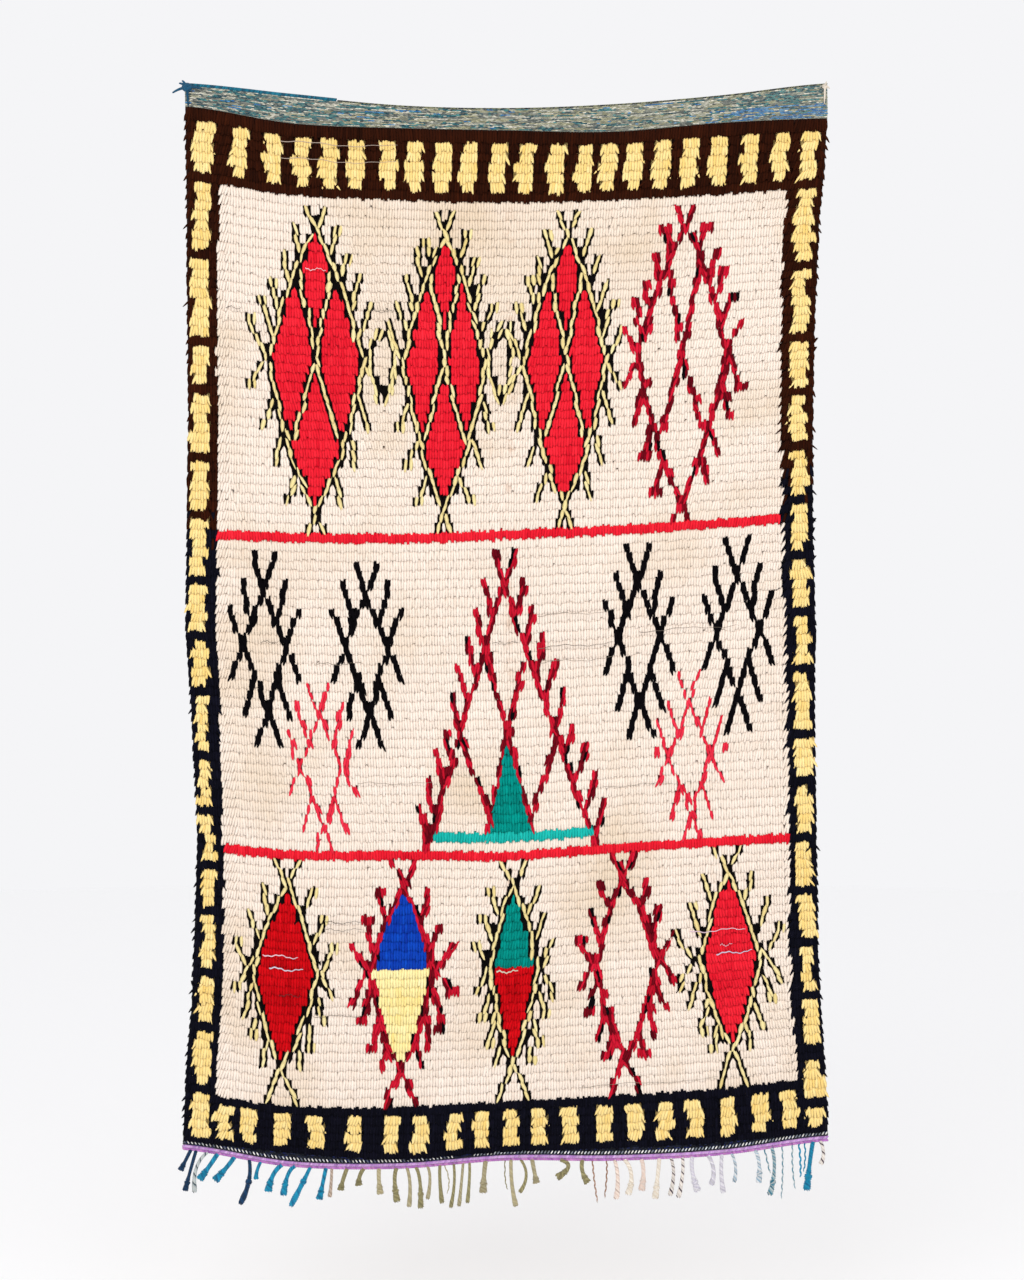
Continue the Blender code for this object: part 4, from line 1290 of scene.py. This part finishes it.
def corner_knot(name, middle, sizes, colour, slot, tails):
    """Slanted turns of yarn round a middle, and tails that leave it."""
    ring_radius, yarn_radius = (size * MM for size in sizes)
    centre = np.array(middle, float) * MM
    t = COIL.points[:, 1]
    angle = 2 * math.pi * t * COIL_RINGS / (COIL_RINGS - 1)
    made = []
    for tilt, turn in RING_TURNS:
        reach = ring_radius + yarn_radius * COIL.points[:, 0]
        ring = np.column_stack([reach * np.cos(angle), yarn_radius * COIL.points[:, 2],
                                reach * np.sin(angle)])
        spin = Matrix.Rotation(tilt, 3, "X") @ Matrix.Rotation(turn, 3, "Z")
        made.append(centre + ring @ np.array(spin).T * RING_SQUASH)
    for tail in tails:
        end = np.array(tail, float) * MM
        taper = 1.0 - TAIL_TAPER * t
        bow = TAIL_BOW * np.sin(math.pi * t)[:, None]
        way = end / np.linalg.norm(end)
        side = np.cross(way, (0.0, 1.0, 0.0))
        path = centre + end * t[:, None] + bow
        made.append(path + yarn_radius * taper[:, None] * (
            COIL.points[:, :1] * side + COIL.points[:, 2:] * np.array([0.0, FLATTENED, 0.0])))
    thing = spun(name + "_yarn", COIL, np.array(made), [colour] * len(made), 0.1)
    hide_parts(name)
    return thing


corner_knots = [corner_knot(*row) for row in CORNER_KNOTS]

# %% [markdown]
# Here and there a weft has worked its way up between two rows of locks: a dark thread on the cream,
# or a pale one on the red and over the brown border. They are thin strands laid over the pile. Each
# is a row of a table, with its two ends, the row it lies on, its colour and its half thickness in mm.

# %% Stray wefts
STRAY_WEFTS = (
    (14.2, 20.0, 20.1, "4a4038", 0.6), (66.5, 75.5, 19.5, "33302c", 0.6),
    (43.0, 50.5, 15.2, "f0c9cc", 1.1), (27.0, 34.0, 55.2, "5d5348", 0.6),
    (127.5, 155.0, 52.6, "857868", 0.5), (127.5, 155.0, 56.0, "6b6055", 0.6),
    (128.0, 155.0, 57.6, "857868", 0.5), (111.0, 120.4, 55.4, "6b6055", 0.5),
    (48.0, 62.0, 85.2, "4a4038", 0.6), (48.0, 62.0, 86.0, "6b6055", 0.5),
    (44.4, 62.5, 95.4, "6b6055", 0.5), (31.7, 39.7, 93.3, "3a1016", 0.7),
    (25.5, 38.5, 89.1, "ecc9d4", 1.4), (28.0, 40.5, 90.5, "d3c8d8", 1.6),
    (181.0, 201.6, 87.8, "e2c3d0", 1.1), (190.6, 203.8, 90.4, "cfc6dc", 1.4),
    (192.0, 196.5, 89.5, "e2c3d0", 0.8),
    (110.5, 118.5, 90.9, "d8cdb8", 1.8), (34.0, 76.0, 2.0, "b9a596", 0.8),
    (34.0, 76.0, 3.7, "b9a596", 0.7), (46.0, 60.0, 57.4, "857868", 0.5),
    (164.0, 200.0, 54.9, "6b6055", 0.5), (60.0, 88.0, 70.2, "8f8272", 0.4),
    (150.0, 176.0, 71.3, "8f8272", 0.4), (140.0, 190.0, 104.2, "8f8272", 0.4),
)
STRAY_OUT = 11.6 * MM
WEFT = strand(5, 30)


def stray_weft(first, last, seen, thick):
    """A thin thread that lies along one row, a little uneven."""
    t = WEFT.points[:, 1]
    across = (first + t * (last - first)) / KNOTS
    wander = 0.12 * np.sin(9.0 * t + first) + 0.05 * np.sin(31.0 * t)
    out = STRAY_OUT + 0.4 * MM * np.sin(17.0 * t + seen)
    points = on_cloth(across, seen + wander, out + WEFT.points[:, 2] * thick * MM)
    points[:, 2] += WEFT.points[:, 0] * thick * MM * (1 - 0.4 * t)
    return points


stray_points = np.array([stray_weft(first, last, seen, thick)
                         for first, last, seen, colour, thick in STRAY_WEFTS])
strays = spun("stray_wefts", WEFT, stray_points, [row[3] for row in STRAY_WEFTS], 0.0)

# %% [markdown]

# %% [markdown]
# The rug hangs, so the floor lies a little below its fringe. The light is broad and soft: a large
# panel in front, high on the left, a weaker one on the right, and a pale world all round.

# %% Floor, light and camera
FLOOR_Z = -2.36
FLOOR_RADIUS = 9.0
VIEW_X = 0.012
VIEW_Z = -1.0165
VIEW_FAR = 4.75
LENS = 70.0


def plain_paint(name, colour):
    """Matt wall paint rolled on a floor: even and dull, with a faint tooth."""
    finish, tree, shader = new_finish(name, 0.9, 0.0)
    room = add(tree, "TexCoord").outputs["Object"]
    cover(tree, shader, linear(colour), noise(tree, room, 90.0, 2.0), 0.05, 1.0 * MM)
    return finish


def floor():
    """A round floor, wider than the view."""
    bm = bmesh.new()
    bmesh.ops.create_circle(bm, cap_ends=True, segments=96, radius=FLOOR_RADIUS)
    bmesh.ops.translate(bm, verts=bm.verts, vec=(0.0, 0.0, FLOOR_Z))
    mesh = bpy.data.meshes.new("floor")
    bm.to_mesh(mesh)
    bm.free()
    mesh.materials.append(plain_paint("matt_floor_paint", "fdfdfd"))
    put_in_scene("floor", mesh)


def panel(name, place, target, size, power):
    """A square light panel that faces a target."""
    light = bpy.data.lights.new(name, "AREA")
    light.size = size
    light.energy = power
    thing = put_in_scene(name, light)
    thing.location = place
    way = Vector(target) - Vector(place)
    thing.rotation_euler = way.to_track_quat("-Z", "Y").to_euler()


floor()
panel("key_panel", (-1.8, -4.8, 1.2), (0.0, 0.0, -1.0), 3.4, 76.0)
panel("fill_panel", (2.4, -4.6, -0.2), (0.0, 0.0, -1.0), 3.0, 38.0)

world = bpy.data.worlds.new("pale_studio")
world.use_nodes = True
sky = world.node_tree.nodes["Background"]
sky.inputs["Color"].default_value = linear("f5f5f7")
sky.inputs["Strength"].default_value = 1.0
bpy.context.scene.world = world

camera_data = bpy.data.cameras.new("camera")
camera_data.lens = LENS
camera_data.sensor_width = 36.0
camera = put_in_scene("camera", camera_data)
camera.location = (VIEW_X, -VIEW_FAR, VIEW_Z)
camera.rotation_euler = (math.radians(90.0), 0.0, 0.0)
bpy.context.scene.camera = camera
bpy.context.scene.view_settings.view_transform = "Standard"
print("camera", [round(value, 3) for value in camera.location])
